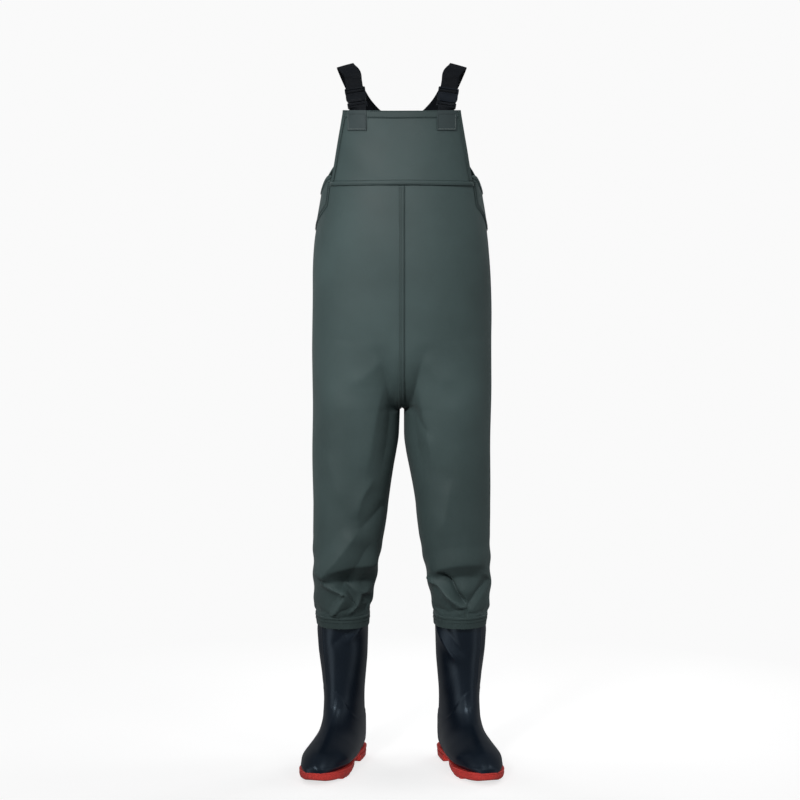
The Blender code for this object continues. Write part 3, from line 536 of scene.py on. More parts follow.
def torso_surface(u, z):
    """Points of the left half of the torso: u goes from the middle of the front to the middle of the back."""
    angle = np.pi * u - np.pi / 2
    depth = np.where(u < 0.5, curve(TORSO_FRONT, z), curve(TORSO_BACK, z))
    x = curve(TORSO_HALF_WIDTH, z) * signed_power(np.cos(angle), 2 / TORSO_POWER)
    return np.stack([x, depth * signed_power(np.sin(angle), 2 / TORSO_POWER), z + 0 * u], axis=-1)


def leg_surface(u, z):
    """Points of the left leg: u goes round it from the inside, by way of the front."""
    outer, inner = curve(LEG_OUTER, z), curve(LEG_INNER, z)
    angle = 2 * np.pi * u + np.pi
    x = (outer + inner) / 2 + (outer - inner) / 2 * signed_power(np.cos(angle), 2 / LEG_POWER)
    y = curve(LEG_CENTRE_Y, z) + curve(LEG_HALF_DEPTH, z) * signed_power(np.sin(angle), 2 / LEG_POWER)
    return np.stack([x, y, z + 0 * u], axis=-1)


def hung_depth(x, s, front):
    """Depth at x of cloth hung straight from the torso's section (s = 1) to the leg's section (s = 0)."""
    above = np.where(front, torso_depth(x, JOIN_Z, TORSO_FRONT), torso_depth(x, JOIN_Z, TORSO_BACK))
    outer, inner = curve(LEG_OUTER, CROTCH_Z), curve(LEG_INNER, CROTCH_Z)
    across = np.minimum(1, np.abs(2 * x - outer - inner) / (outer - inner))
    below = curve(LEG_HALF_DEPTH, CROTCH_Z) * (1 - across ** LEG_POWER) ** (1 / LEG_POWER)
    below = below - np.where(front, 1, -1) * curve(LEG_CENTRE_Y, CROTCH_Z)
    return below + (above - below) * s


def body_surface(u, z):
    """Half of the body: a closed ring round a leg that opens, over the crotch, into half of the torso."""
    s = np.clip((z - CROTCH_Z) / (JOIN_Z - CROTCH_Z), 0, 1)
    rounded = (1 - (1 - s) ** 2.7) ** (1 / 2.7)
    centred = bump(0, 0.085, np.minimum(u, 1 - u))
    share = (rounded * centred + smooth(0, 1, s) * (1 - centred))[..., None]
    points = leg_surface(u, z) * (1 - share) + torso_surface(u, z) * share
    front = u < 0.5
    short = hung_depth(points[..., 0], s, front) - np.abs(points[..., 1])
    grown = 0.5 * (short + np.sqrt(short ** 2 + 1e-6)) * smooth(0, 0.08, s) * smooth(1, 0.92, s)
    points[..., 1] += np.where(front, -grown, grown)
    return points


def top_edge(u):
    """Height of the body's top edge: the chest seam, the armhole and the raised back."""
    corner, low = 1.2685, 1.2345
    armhole = corner + (low - corner) * smooth(BIB_EDGE_U + 0.02, 0.5, u)
    back = low + (BACK_TOP_Z - low) * smooth(0.5, 0.78, u)
    edge = np.where(u < 0.5, armhole, back)
    seam = CHEST_SEAM_Z + 0.004
    return seam + (edge - seam) * smooth(BIB_EDGE_U - 0.002, BIB_EDGE_U + 0.014, u)


COLUMNS = 168
UPPER_FROM = 1.1
u_line = np.linspace(0, 1, COLUMNS + 1)
z_low = np.concatenate([np.arange(CUFF_LOW_Z + 0.002, DRAPE_TOP_Z, 0.0034),
                        np.arange(DRAPE_TOP_Z, UPPER_FROM, 0.0055)])
z_high = np.linspace(0, 1, 30)[:, None]
SPLIT_ROW, DRAPE_ROW = (int(np.argmin(np.abs(z_low - z))) for z in (KNEE_SPLIT_Z, DRAPE_TOP_Z))
U = np.tile(u_line, (len(z_low) + len(z_high), 1))
Z = np.concatenate([np.tile(z_low[:, None], (1, COLUMNS + 1)),
                    UPPER_FROM + z_high * (top_edge(u_line) - UPPER_FROM)])
CLOSED_ROWS = Z[:, 0] < CROTCH_Z
GATHER_TURNS = 2 * np.pi * 46  # of the puckers under the elastic, as u goes from 0 to 1


def body_normals(grid):
    """Grid normals, where the rows of the leg close on themselves."""
    across = np.gradient(grid, axis=1)
    across[CLOSED_ROWS, 0] = across[CLOSED_ROWS, -1] = grid[CLOSED_ROWS, 1] - grid[CLOSED_ROWS, -2]
    return unit(np.cross(across, np.gradient(grid, axis=0)))


CLOTH_SETTINGS = {
    "quality": 6, "mass": 0.3, "tension_stiffness": 14, "compression_stiffness": 14, "shear_stiffness": 6,
    "bending_stiffness": 9, "air_damping": 3, "vertex_group_mass": "held", "pin_stiffness": 1.2,
    "shrink_min": -0.008, "shrink_max": -0.008}
CLOTH_STEPS = 14
CLOTH_REACH = 0.006


def simulate(name, grid, side):
    """Drapes the rows below the knee as cloth held at both ends, and gives back the moved grid."""
    part = grid[:DRAPE_ROW + 1, :-1]
    rows, columns = part.shape[:2]
    obj = mesh_object(name, part, grid_faces(rows, columns, closed=True), FABRIC, side)
    group = obj.vertex_groups.new(name="held")
    z = part[..., 2].ravel()
    hold = np.maximum(smooth(z.min() + 0.035, z.min() + 0.012, z), smooth(z.max() - 0.05, z.max() - 0.01, z))
    hold = np.round(np.maximum(hold, 0.06), 2)
    for value in np.unique(hold):
        group.add(np.nonzero(hold == value)[0].tolist(), float(value), "REPLACE")
    cloth = obj.modifiers.new("cloth", "CLOTH")
    for key, value in CLOTH_SETTINGS.items():
        setattr(cloth.settings, key, value)
    cloth.settings.effector_weights.gravity = 0.35
    cloth.collision_settings.use_collision = False
    scene = bpy.context.scene
    scene.frame_start, scene.frame_end = 1, CLOTH_STEPS
    for step in range(1, CLOTH_STEPS + 1):
        scene.frame_set(step)
    moved = obj.evaluated_get(bpy.context.evaluated_depsgraph_get())
    change = np.array([v.co for v in moved.data.vertices], float).reshape(part.shape)
    change = (change - (0, AXIS_Y, 0)) * (side, 1, 1) - part
    scene.frame_set(1)
    bpy.data.objects.remove(obj)
    for _ in range(2):
        change[1:-1] = (change[1:-1] * 2 + change[:-2] + change[2:] + np.roll(change, 1, 1)[1:-1]
                        + np.roll(change, -1, 1)[1:-1]) / 6
    size = np.linalg.norm(change, axis=2, keepdims=True)
    change *= np.minimum(1, CLOTH_REACH / np.maximum(size, 1e-9))
    result = grid.copy()
    result[:DRAPE_ROW + 1, :-1] += change
    result[:DRAPE_ROW + 1, -1] = result[:DRAPE_ROW + 1, 0]
    return result


def make_body(label, side):
    """Both cloth pieces of a half, parted inside the knee. Gives its grid, normals and upper piece."""
    grid = body_surface(U, Z)
    puckers = np.sin(U * GATHER_TURNS) * smooth(0.76, 0.82, U) * smooth(BACK_TOP_Z - 0.11, BACK_TOP_Z - 0.03, Z)
    grid = grid + body_normals(grid) * 0.0016 * puckers[..., None]
    grid = simulate(f"{label}_drape", grid, side)
    grid = folded(grid, body_normals(grid), side)
    middle = np.where(CLOSED_ROWS[:, None], grid[..., 0], 0.0)
    grid[..., 0] = np.where((U == 0) | (U == 1), middle, np.maximum(grid[..., 0], 0.0))
    normals = body_normals(grid)
    above, below = slice(SPLIT_ROW, None), slice(0, SPLIT_ROW + 1)
    upper = sheet(f"{label}_body_cloth", grid[above], FABRIC, side, rims="u", normals=normals[above])
    lower = sheet(f"{label}_shin_cloth", grid[below], FABRIC, side, rims="d", normals=normals[below])
    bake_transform(upper)
    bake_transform(lower)
    for piece, places in ((upper, ("", "thigh_")), (lower, ("shin_",))):
        nodes = [f"{label}_{place}{face}_panel" for place in places for face in ("front", "back")]
        attach(piece, None, "coated_fabric", *nodes)
    return grid, normals, upper


def make_seams(grid):
    """Felled seams down the centre front and back, a little proud of the cloth, with stitching."""
    ends = (("front", 0, CHEST_SEAM_Z - 0.002, 1), ("back", -1, BACK_TOP_Z - 0.001, -1))
    for face, column, top_z, way in ends:
        rows = (Z[:, column] > CROTCH_Z + 0.002) & (Z[:, column] < top_z)
        path = spline(grid[rows, column] * (0, 1, 1), 260)
        rise = np.gradient(path, axis=0)
        out = unit(np.stack([0 * path[:, 0], -way * rise[:, 2], way * rise[:, 1]], axis=1))
        out = np.where((out[:, 1:2] * way) > 0, -out, out)
        name = f"centre_{face}_seam"
        seam = strip(name, path + out * 0.0009, out, 0.0062, HEM, wall=0.0022, crown=0.0002)
        attach(seam, "torso", "hem_fabric", f"{name}_tape")
        lines = [path + out * 0.0021 + (x, 0, 0) for x in (-0.0042, -0.0012, 0.0042)]
        attach(stitches(f"{name}_stitching", lines, [out] * 3, THREAD, width=0.0008), "torso", "hem_fabric")


# ---- the bib ----

HEM_WALL = 0.0012
BIB_TOP_DIP = 0.0012
BIB_HEIGHT = 0.155


def bib_surface(x, z):
    """The torso's smooth front, carried on up behind the bib."""
    return np.stack([x + 0 * z, -torso_depth(x, z, TORSO_FRONT), z + 0 * x], axis=-1)


def bib_half(z):
    """Half the bib's width at a height."""
    (z0, w0), (z1, w1) = BIB_HALF_WIDTH
    return w0 + (w1 - w0) * (z - z0) / (z1 - z0)


def bib_lifted(x, z, lift):
    """The bib's smooth surface moved outwards by lift, and its normals."""
    step = 1e-3
    across = bib_surface(x + step, z) - bib_surface(x - step, z)
    up = bib_surface(x, z + step) - bib_surface(x, z - step)
    normal = unit(np.cross(across, up))
    return bib_surface(x, z) + normal * np.asarray(lift)[..., None], normal


def bib_lift(a, z):
    """How far the bib stands off its smooth surface: soft waves, and a slight belly between the hems."""
    waves = 0.001 * np.sin(a * 5.0 + z * 31) * np.sin(z * 47 + a * 2)
    belly = np.sin((z - CHEST_SEAM_Z) / BIB_HEIGHT * np.pi)
    return 0.0018 + waves * (1 - a ** 8) + 0.0012 * (1 - a * a) * belly


def on_bib(x, z, lift):
    """Points over the bib's cloth at (x, z), and their normals."""
    return bib_lifted(x, z, bib_lift(x / bib_half(z), z) + lift)


def make_bib():
    """The bib's panel, its hems along three sides, and the seam that joins it to the body."""
    low = CHEST_SEAM_Z - 0.0045
    v = np.concatenate([np.linspace(0, 0.06, 7), np.linspace(0.08, 0.93, 46), np.linspace(0.95, 1, 5)])
    A, V = np.meshgrid(np.linspace(-1, 1, 91), v)
    z = low - 0.0016 * A * A * (1 - V) * 2.2 + (BIB_TOP_Z - low) * V
    z = z - BIB_TOP_DIP * (1 - A * A) * smooth(0.8, 1, V)
    points, _ = bib_lifted(A * (bib_half(z) - 0.0004), z, bib_lift(A, z))
    attach(sheet("bib_front", points, FABRIC, wall=0.0016), "torso", "coated_fabric", "bib_panel")
    paths, outs = [], []

    def hem(name, node, x, z, width, lines):
        """A folded hem along a line on the bib, with stitches along other lines."""
        path, out = on_bib(x, z, HEM_WALL)
        piece = strip(name, path, out, width / 2, HEM, wall=HEM_WALL, crown=0.0003)
        attach(piece, "torso", "hem_fabric", node)
        for line in lines:
            paths.append(on_bib(*line, HEM_WALL + 0.001)[0])
            outs.append(out)

    high, wide, stitch_in = 0.016, 0.0085, 0.0022
    xs = np.linspace(-1, 1, 81) * (bib_half(BIB_TOP_Z - high / 2) - 0.001)
    top = BIB_TOP_Z - BIB_TOP_DIP * (1 - (xs / BIB_HALF_WIDTH[1][1]) ** 2)
    hem("bib_hem_top", "bib_top_hem", xs, top - high / 2, high,
        [(xs, top - stitch_in), (xs, top - high + stitch_in)])
    zs = np.linspace(CHEST_SEAM_Z + 0.001, BIB_TOP_Z - 0.0008, 60)
    for label, side in SIDES:
        edge, inset = (side * (bib_half(zs) - x) for x in (wide / 2, wide - 0.0016))
        hem(f"{label}_bib_hem", f"{label}_bib_side_hem", edge, zs, wide, [(inset, zs)])
    a = np.linspace(-1, 1, 91)
    droop = CHEST_SEAM_Z - 0.0035 * a * a
    for above, lift in ((-0.0023, 0.0026), (0.0045, 0.0002)):
        z = droop + above
        line, out = bib_lifted(a * (bib_half(z) - 0.002), z, bib_lift(a, z) + lift)
        paths.append(line)
        outs.append(out)
    z = droop - 0.0012
    path, out = bib_lifted(a * (bib_half(z) - 0.001), z, bib_lift(a, z) + 0.0008)
    seam = strip("chest_seam_fold", path, out, 0.004, HEM, wall=0.003, crown=0.0006)
    attach(seam, "torso", "hem_fabric", "chest_seam_band")
    attach(stitches("bib_stitching", paths, outs, THREAD, width=0.0008), "torso", "hem_fabric")


# ---- patches, bands and cuffs on the body ----

def on_body(grid, normals, u, z, lift):
    """Points over the finished body cloth at (u, z), moved outwards by lift, and their normals."""
    shape = np.broadcast(u, z).shape
    u, z, lift = (np.broadcast_to(value, shape).ravel() for value in (u, z, lift))
    i = np.clip(u * COLUMNS, 0, COLUMNS - 1e-6)
    i0 = i.astype(int)
    pick = np.arange(len(u))
    found = np.zeros((2, len(u), 3))
    for near, share in ((i0, i0 + 1 - i), (i0 + 1, i - i0)):
        heights = Z[:, near]
        row = np.clip((heights < z).sum(axis=0) - 1, 0, len(Z) - 2)
        low, high = heights[row, pick], heights[row + 1, pick]
        t = np.clip((z - low) / (high - low), 0, 1)[:, None]
        for k, which in enumerate((grid, normals)):
            found[k] += share[:, None] * (which[row, near] * (1 - t) + which[row + 1, near] * t)
    out = unit(found[1])
    return (found[0] + out * lift[:, None]).reshape(shape + (3,)), out.reshape(shape + (3,))


def make_side_patch(label, side, grid, normals):
    """The patch under the arm, with a double row of stitching along its pointed lower edge."""
    u0, u1 = 0.342, 0.66
    corner_z, point_z = 1.205, 1.15

    def lower(u):
        return point_z + (corner_z - point_z) * np.abs(2 * (u - u0) / (u1 - u0) - 1) ** 0.9

    u, v = np.meshgrid(np.linspace(u0, u1, 64), np.linspace(0, 1, 34))
    z = lower(u) + (top_edge(u) - 0.0012 - lower(u)) * v
    points, out = on_body(grid, normals, u, z, 0.0017)
    patch = sheet(f"{label}_arm_patch", points, FABRIC, side, wall=0.0015, normals=out)
    attach(patch, "torso", "coated_fabric", f"{label}_side_patch")
    lines = []
    for inset in (0.0028, 0.0075):
        left, right = u0 + inset / 0.5, u1 - inset / 0.5
        u = np.concatenate([np.full(24, left), np.linspace(left, right, 60), np.full(24, right)])
        bottom = lower(u) + inset * 1.15
        rise = np.concatenate([np.linspace(1, 0, 25)[:-1], np.zeros(60), np.linspace(0, 1, 25)[1:]])
        lines.append(on_body(grid, normals, u, bottom + (top_edge(u) - 0.012 - bottom) * rise, 0.0021))
    thread = stitches(f"{label}_arm_patch_stitching", *zip(*lines), THREAD, side, width=0.0009)
    attach(thread, "torso", "coated_fabric")
    u = np.linspace(BIB_EDGE_U + 0.01, 0.8, 150)
    path, out = on_body(grid, normals, u, top_edge(u) - 0.0032, 0.0019)
    binding = strip(f"{label}_armhole_binding", path, out, 0.0042, HEM, side, wall=0.0026, crown=0.0004)
    attach(binding, "torso", "hem_fabric")


def make_back_band(grids):
    """The elastic along the top of the back, ribbed by its gathers."""
    u, v = np.meshgrid(np.linspace(0.8, 1.0, 90), np.linspace(0, 1, 9))
    z, lift = top_edge(u) - 0.03 + 0.0295 * v, 0.0026 + 0.0006 * np.sin(u * GATHER_TURNS)
    halves = [np.stack(on_body(*grids[label][:2], u, z, lift)) * (side, 1, 1) for label, side in SIDES]
    points, out = np.concatenate([halves[0], halves[1][:, :, -2::-1]], axis=2)
    band = sheet("back_elastic", points, ELASTIC, wall=0.0018, normals=out)
    attach(band, "torso", "webbing", "back_elastic_band")
    lines = [points[row] + out[row] * 0.0004 for row in (1, -2)]
    attach(stitches("back_elastic_stitching", lines, out[[1, -2]], THREAD, pitch=0.0036), "torso", "webbing")


# Where the cuff's section goes: share of its height, and how far it stands off the leg, in millimetres.
CUFF_SECTION = ((0.0, -1.2), (-0.0006, 0.2), (0.0, 1.3), (0.03, 1.8), (0.5, 1.8), (0.7, 1.6),
                (0.74, 0.9), (0.78, 1.6), (0.95, 1.6), (0.985, 0.8), (1.0, -0.4))


def make_cuff(label, side):
    """The doubled band at the bottom of a leg, over the top of the boot, with two rows of stitching."""
    around = np.linspace(0, 1, 145)[:-1]
    low, high = CUFF_LOW_Z - 0.0005, CUFF_TOP_Z - 0.001
    droop = 0.003 * np.clip(-np.sin(2 * np.pi * around), -0.4, 1)
    wave = 0.0006 * np.sin(around * 2 * np.pi * 7 + side * 2)
    centre = np.array([(curve(LEG_OUTER, low) + curve(LEG_INNER, low)) / 2, curve(LEG_CENTRE_Y, low), 0])
    rows = []
    for share, lift in CUFF_SECTION:
        z = low + (high - low) * share
        base = leg_surface(around, np.full(len(around), max(z, 0.307)))
        base[:, 2] = z + droop
        rows.append(base + unit((base - centre) * (1, 0.8, 0)) * (mm(lift) + wave)[:, None])
    cuff = sheet(f"{label}_cuff", rows, HEM, side, wall=0.0012, closed=True, rims="ud")
    attach(cuff, f"{label}_lower_leg", "hem_fabric", f"{label}_cuff_band")
    lines = [np.vstack([rows[k], rows[k][:1]]) for k in (4, 7)]
    outs = [unit((line - line.mean(axis=0)) * (1, 1, 0)) for line in lines]
    lines = [line + out * 0.0003 for line, out in zip(lines, outs)]
    attach(stitches(f"{label}_cuff_stitching", lines, outs, THREAD, side), f"{label}_lower_leg", "hem_fabric")


# ---- boots ----

ANKLE = (0.129, 0.003)
SPLAY = math.radians(16)
# Boots, in thousandths: the place from toe (0) to top (1000), then millimetres forward of the ankle and up.
INSTEP = mm((
    (0, 205.2, 26.2), (12, 205, 30), (30, 203.2, 36.5), (70, 194.5, 47.5), (140, 176, 62), (240, 142, 75.5),
    (340, 109, 89), (440, 79, 108.5), (530, 59, 135), (620, 52, 168), (740, 51, 215), (870, 54, 275),
    (1000, 57, 340)))
HEEL_LINE = mm((
    (0, 205.2, 23.8), (12, 204.8, 21.5), (30, 202.5, 19.8), (70, 188, 19), (140, 150, 18), (240, 100, 18),
    (340, 40, 19.5), (440, -30, 22.5), (500, -66, 23.5), (530, -81.5, 28.5), (570, -87.5, 47), (620, -88.5, 76),
    (740, -74.5, 138), (870, -72, 230), (1000, -75, 340)))
BOOT_HALF_WIDTH = mm((
    (0, 2), (12, 8.5), (30, 15), (70, 26.5), (140, 40.5), (240, 50), (340, 48.2), (440, 42.8), (530, 40.2),
    (620, 40), (740, 44), (870, 52), (1000, 54.5)))
# The sole, in millimetres forward of the ankle: its half width, top and bottom.
SOLE_HALF_WIDTH = mm((
    (-93.5, 4), (-91, 16), (-83, 26.5), (-65, 35), (-30, 38.5), (20, 38.5), (70, 47), (110, 53.2), (137, 50.5),
    (160, 44.5), (180, 35.5), (194, 25.2), (203, 15), (207.2, 7.5), (208.5, 2)))
SOLE_TOP = mm(((-93.5, 29), (-20, 26), (60, 21.5), (160, 22.5), (208.5, 25.5)))
SOLE_LOW = mm(((-93.5, 16.8), (0, 16.8), (35, 13), (60, 4.5), (165, 4.5), (190, 5.5), (208.5, 9.5)))
TREAD = 0.0045
HEEL_FRONT = -0.012
SOLE_ENDS = (-0.0935, 0.2085)
# Share of the sole's height, and how far its wall stands out there, in millimetres.
SOLE_WALL = ((0.0, -5.2), (0.08, -2.6), (0.18, -0.8), (0.28, 0.0), (0.34, -0.6), (0.4, 0.4), (0.68, 0.6),
             (0.74, -0.2), (0.8, 0.8), (0.93, 1.0), (0.985, 0.2), (1.0, -1.5), (1.0, -10.0))
# Height of the heel block, and how far its wall stands out there, in millimetres.
HEEL_WALL = ((4.5, 0.0), (8.5, 0.4), (9.0, -0.6), (9.8, 0.4), (16.6, 1.2))
# Soft creases of the shaft: path of (turn, z) in thousandths, then height and reach.
SHARED_CREASES = (
    (((70, 310), (55, 270), (50, 235)), 1.4, 13), (((-120, 235), (-150, 190), (-175, 165)), -1.8, 14))
OWN_CREASES = {
    -1: ((((-85, 318), (-50, 292), (-20, 268)), 3.4, 12), (((-60, 326), (-20, 290), (12, 262)), -2.8, 15)),
    1: ((((-100, 318), (-62, 272), (-20, 222)), 4.4, 12), (((-78, 326), (-40, 282), (-6, 235)), -3.4, 14))}


def boot_frame(points):
    """(forward, outward, up) from the ankle to the object's frame, for the left boot."""
    f, w, z = np.moveaxis(np.asarray(points, float), -1, 0)
    x = ANKLE[0] + f * math.sin(SPLAY) + w * math.cos(SPLAY)
    y = ANKLE[1] - f * math.cos(SPLAY) + w * math.sin(SPLAY)
    return np.stack([x, y, z], axis=-1)


def boot_local(u, place, inset=0.0):
    """The boot's surface: u goes round from the instep, by way of the outside, and place from toe to top."""
    top, low = (np.stack([curve([(row[0], row[k]) for row in line], place) for k in (1, 2)], axis=-1)
                for line in (INSTEP, HEEL_LINE))
    centre, reach = (top + low) / 2, (top - low) / 2
    angle = 2 * np.pi * u
    foot = smooth(0.56, 0.36, place)
    power = np.where(np.cos(angle) > 0, 1.0 + 0.12 * foot, 0.62 + 0.38 * smooth(0.5, 0.78, place))
    width = (curve(BOOT_HALF_WIDTH, place) - inset) * signed_power(np.sin(angle), power)
    along = (1 - inset / np.linalg.norm(reach, axis=-1)) * (np.cos(angle) - 0.38 * foot * np.sin(angle) ** 2)
    middle = centre + reach * along[..., None]
    return np.stack([middle[..., 0], width, middle[..., 1]], axis=-1)


def boot_relief(u, place, z, side):
    """Thickness moulded on the boot: foot overlay, mould ridge, heel lines, welt and soft creases."""
    turn = (u + 0.5) % 1 - 0.5  # 0 in front, positive to the outside
    round_back = np.abs(turn)
    overlay_z = 0.168 - 0.066 * smooth(0.02, -0.22, turn) - 0.02 * smooth(0.3, 0.48, round_back)
    lift = 0.0008 * smooth(0.0034, -0.0034, z - overlay_z)
    lift += 0.0012 * bump(0.093, 0.0065, turn) * smooth(0.172, 0.186, z)
    lift += 0.001 * bump(0.5, 0.006, round_back) * smooth(0.1, 0.14, z)
    heel = smooth(0.335, 0.35, round_back + 0.35 * (z - 0.06)) * smooth(0.112, 0.108, z)
    lift += 0.0013 * heel * (place > 0.45)
    lift += 0.001 * bump(0.0315, 0.0026, z) * smooth(0.0, 0.05, place) * (place < 0.62)
    flat = np.stack([turn * 0.36, z], axis=-1).reshape(-1, 2)
    for path, height, reach in mm(SHARED_CREASES + OWN_CREASES[side]):
        lift += fold(flat, path, height, reach, reach).reshape(z.shape)
    return lift


def make_boot(label, side):
    """A boot's rubber upper, its knitted sock and insole, and its red sole."""
    body = f"{label}_lower_leg"
    place = np.concatenate([np.linspace(0, 0.1, 16)[:-1], np.linspace(0.1, 0.5, 52)[:-1],
                            np.linspace(0.5, 1.0, 104)])
    u, place = np.meshgrid(np.linspace(0, 1, 133)[:-1], place)
    local = boot_local(u, place)
    local = local + grid_normals(local, closed=True) * boot_relief(u, place, local[..., 2], side)[..., None]
    inside = 12  # rows of the shaft's inner wall
    inner = boot_local(u[-inside:], place[-inside:], 0.0026)[::-1]
    rows, columns = place.shape
    faces = grid_faces(rows + inside, columns, closed=True) + [tuple(range(columns))[::-1]]
    upper = mesh_object(f"{label}_boot_shell", boot_frame(np.concatenate([local, inner])), faces, RUBBER, side)
    attach(upper, body, "boot_rubber", f"{label}_boot_upper", f"{label}_heel_counter", f"{label}_ankle_guard")
    lining = boot_local(*np.meshgrid(np.linspace(0, 1, 61)[:-1], np.linspace(0.6, 0.995, 30)), 0.0034)
    sock = sheet(f"{label}_boot_sock", boot_frame(lining), LINING, side, wall=0.001, closed=True, rims="ud")
    attach(sock, body, "lining_knit", f"{label}_boot_lining")
    cushion = boot_local(*np.meshgrid(0.5 + np.linspace(-0.15, 0.15, 15), np.linspace(0.1, 0.5, 30)))
    cushion = boot_frame(cushion - grid_normals(cushion) * 0.0045)
    insole = sheet(f"{label}_boot_insole", cushion, FOAM, side, wall=0.0028)
    attach(insole, body, "insole_foam", f"{label}_insole")
    make_sole(label, side)


def outline(start, end, count, grow=0.0):
    """(forward, outward) points round the sole between two places along it."""
    f = start + (end - start) * (0.5 - 0.5 * np.cos(np.pi * np.arange(count + 1) / count))
    outer = np.stack([f, curve(SOLE_HALF_WIDTH, f) + grow], axis=1)
    return np.concatenate([outer, outer[::-1] * (1, -1)])


def outward_from(ring, back, front):
    """Directions out of the sole's outline, from its middle line between two places."""
    return unit(ring - np.stack([np.clip(ring[:, 0], back, front), 0 * ring[:, 0]], axis=1))


def lug(start, length, hand, lean, middle, margin, low, high):
    """A block of tread on one half of the sole, tapered downwards."""
    end = start + length
    w0, w1 = curve(SOLE_HALF_WIDTH, (start, end)) - margin
    corners = np.array([(start + lean, hand * middle), (end + lean, hand * middle), (end, hand * w1),
                        (start, hand * w0)])[::hand]
    centre = corners.mean(axis=0)
    small = centre + (corners - centre) * 0.9
    points = [(f, w, low) for f, w in small] + [(f, w, high) for f, w in corners]
    faces = [(0, 1, 2, 3), (7, 6, 5, 4)] + [(4 + i, 4 + (i + 1) % 4, (i + 1) % 4, i) for i in range(4)]
    return np.array(points), faces


def red_block(label, side, name, node, rows, lugs, edge, level):
    """A closed stack of outlines, from the lowest one up, with its lugs. level says that its ends are flat."""
    rows = np.array(rows)
    count = rows.shape[1]
    faces = [face[::-1] for face in grid_faces(len(rows), count, closed=True)]
    last = (len(rows) - 1) * count
    ends = [(i, i + 1, count - 2 - i, count - 1 - i) for i in range(count // 2 - 1)]
    for end in ([tuple(range(count))] if level else ends):
        faces += [end, tuple(last + k for k in end[::-1])]
    points, total = [rows.reshape(-1, 3)], len(rows) * count
    for block, block_faces in lugs:
        points.append(block)
        faces += [tuple(total + i for i in face) for face in block_faces]
        total += len(block)
    piece = mesh_object(f"{label}_{name}", boot_frame(np.concatenate(points)), faces, RED, side, sharp=True)
    soften(piece, edge, 25)
    attach(piece, f"{label}_lower_leg", "sole_rubber", f"{label}_{node}")


def make_sole(label, side):
    """The outsole with its ribbed wall and slanted lugs, and the heel block."""
    ring = outline(*SOLE_ENDS, 74)
    top, low = curve(SOLE_TOP, ring[:, 0]), curve(SOLE_LOW, ring[:, 0])
    outward = outward_from(ring, -0.055, 0.165)
    rib = 0.00035 * np.sign(np.sin(np.arange(len(ring)) * np.pi / 1.5))
    rows = []
    for share, grow in SOLE_WALL:
        ripple = rib if 0.36 < share < 0.72 else 0 * rib
        rows.append(np.column_stack([ring + outward * (mm(grow) + ripple)[:, None], low + (top - low) * share]))
    lugs = []
    for start in np.arange(0.062, 0.14, 0.0165):
        rise = float(curve(SOLE_LOW, start + 0.00575)) - TREAD
        lugs += [lug(start, 0.0115, hand, lean=0.01, middle=0.0015, margin=0.0035, low=max(rise, 0.0),
                     high=rise + TREAD + 0.001) for hand in (1, -1)]
    red_block(label, side, "red_sole", "outsole", rows, lugs, edge=0.0004, level=False)

    ring = outline(SOLE_ENDS[0] + 0.001, HEEL_FRONT, 26, -0.0012)
    outward = outward_from(ring, -0.06, HEEL_FRONT)
    rows = [np.column_stack([ring + outward * grow, np.full(len(ring), z)]) for z, grow in mm(HEEL_WALL)]
    lugs = [lug(start, 0.0135, hand, lean=0.0, middle=0.004, margin=0.003, low=0.0, high=TREAD + 0.0008)
            for start in (-0.0885, -0.0705, -0.0525, -0.0345) for hand in (1, -1)]
    red_block(label, side, "red_heel", "heel_block", rows, lugs, edge=0.0005, level=True)


def soften(obj, width, angle, segments=2):
    """Rounds every edge sharper than an angle in degrees."""
    edges = obj.modifiers.new("soft_edges", "BEVEL")
    edges.width = width
    edges.segments = segments
    edges.limit_method = "ANGLE"
    edges.angle_limit = math.radians(angle)


# ---- buckles: shapes in millimetres, as (across, up, out) from the middle of the tab's bar ----

PRONG_PIVOT = (12.9, 9.8)
THROUGH = (-10, 10)
SOCKET_HALF = ((17.8, 10.8), (19.0, 16.0), (21.1, 20.5), (21.4, 26.0), (20.6, 31.0), (21.6, 40.0), (21.0, 44.0))
SOCKET_THICK = 4.6
# Blocks cut out: half width across, then (low, high) up and out.
SOCKET_GROOVES = tuple((13.5, (b, b + 0.9), (SOCKET_THICK - 0.5, 10)) for b in (12.5, 15, 27.5))
SOCKET_CUTS = ((16.8, (0, 30), (-2.8, 2.8)), (30, (17.5, 26.2), (-2.4, 2.4)), (18.6, (31.6, 35), THROUGH),
               (18.6, (37.6, 41), THROUGH), *SOCKET_GROOVES)
BASE = ((-20.5, -1.6), (20.5, -1.6), (20.8, 9.6), (-20.8, 9.6))
BASE_CUTS = ((17.5, (1, 3.8), THROUGH), (15, (6.8, 7.4), (3, 10)))
TONGUE = ((-3, 8.5), (3, 8.5), (2.4, 23.8), (-2.4, 23.8))
PRONG = ((10.6, 9.8), (15, 9.8), (15.6, 15), (16.3, 19), (16.3, 24), (15, 28), (12.2, 30), (10, 27.5),
         (10.6, 20))


def buckle_matrix(label, side):
    """Carries (across, up, out) of a buckle to the CAD's frame, from the middle of its tab bar."""
    slide, flex = JOINTS[f"{label}_clip_slide"], JOINTS[f"{label}_outer_prong_flex"]
    up, out = Vector(slide["axis"]).normalized(), Vector(flex["axis"]).normalized()
    across = up.cross(out)
    matrix = Matrix((across, up, out)).transposed().to_4x4()
    pivot_across, pivot_up = mm(PRONG_PIVOT)
    matrix.translation = Vector(flex["pos_m"]) - across * (pivot_across * side) - up * pivot_up
    return matrix


def in_buckle(matrix, points):
    """Points of a buckle, given as (across, up, out), in the frame that mesh_object expects for the left."""
    a = np.array(matrix)
    return np.asarray(points, float) @ a[:3, :3].T + a[:3, 3] - (0, AXIS_Y, 0)


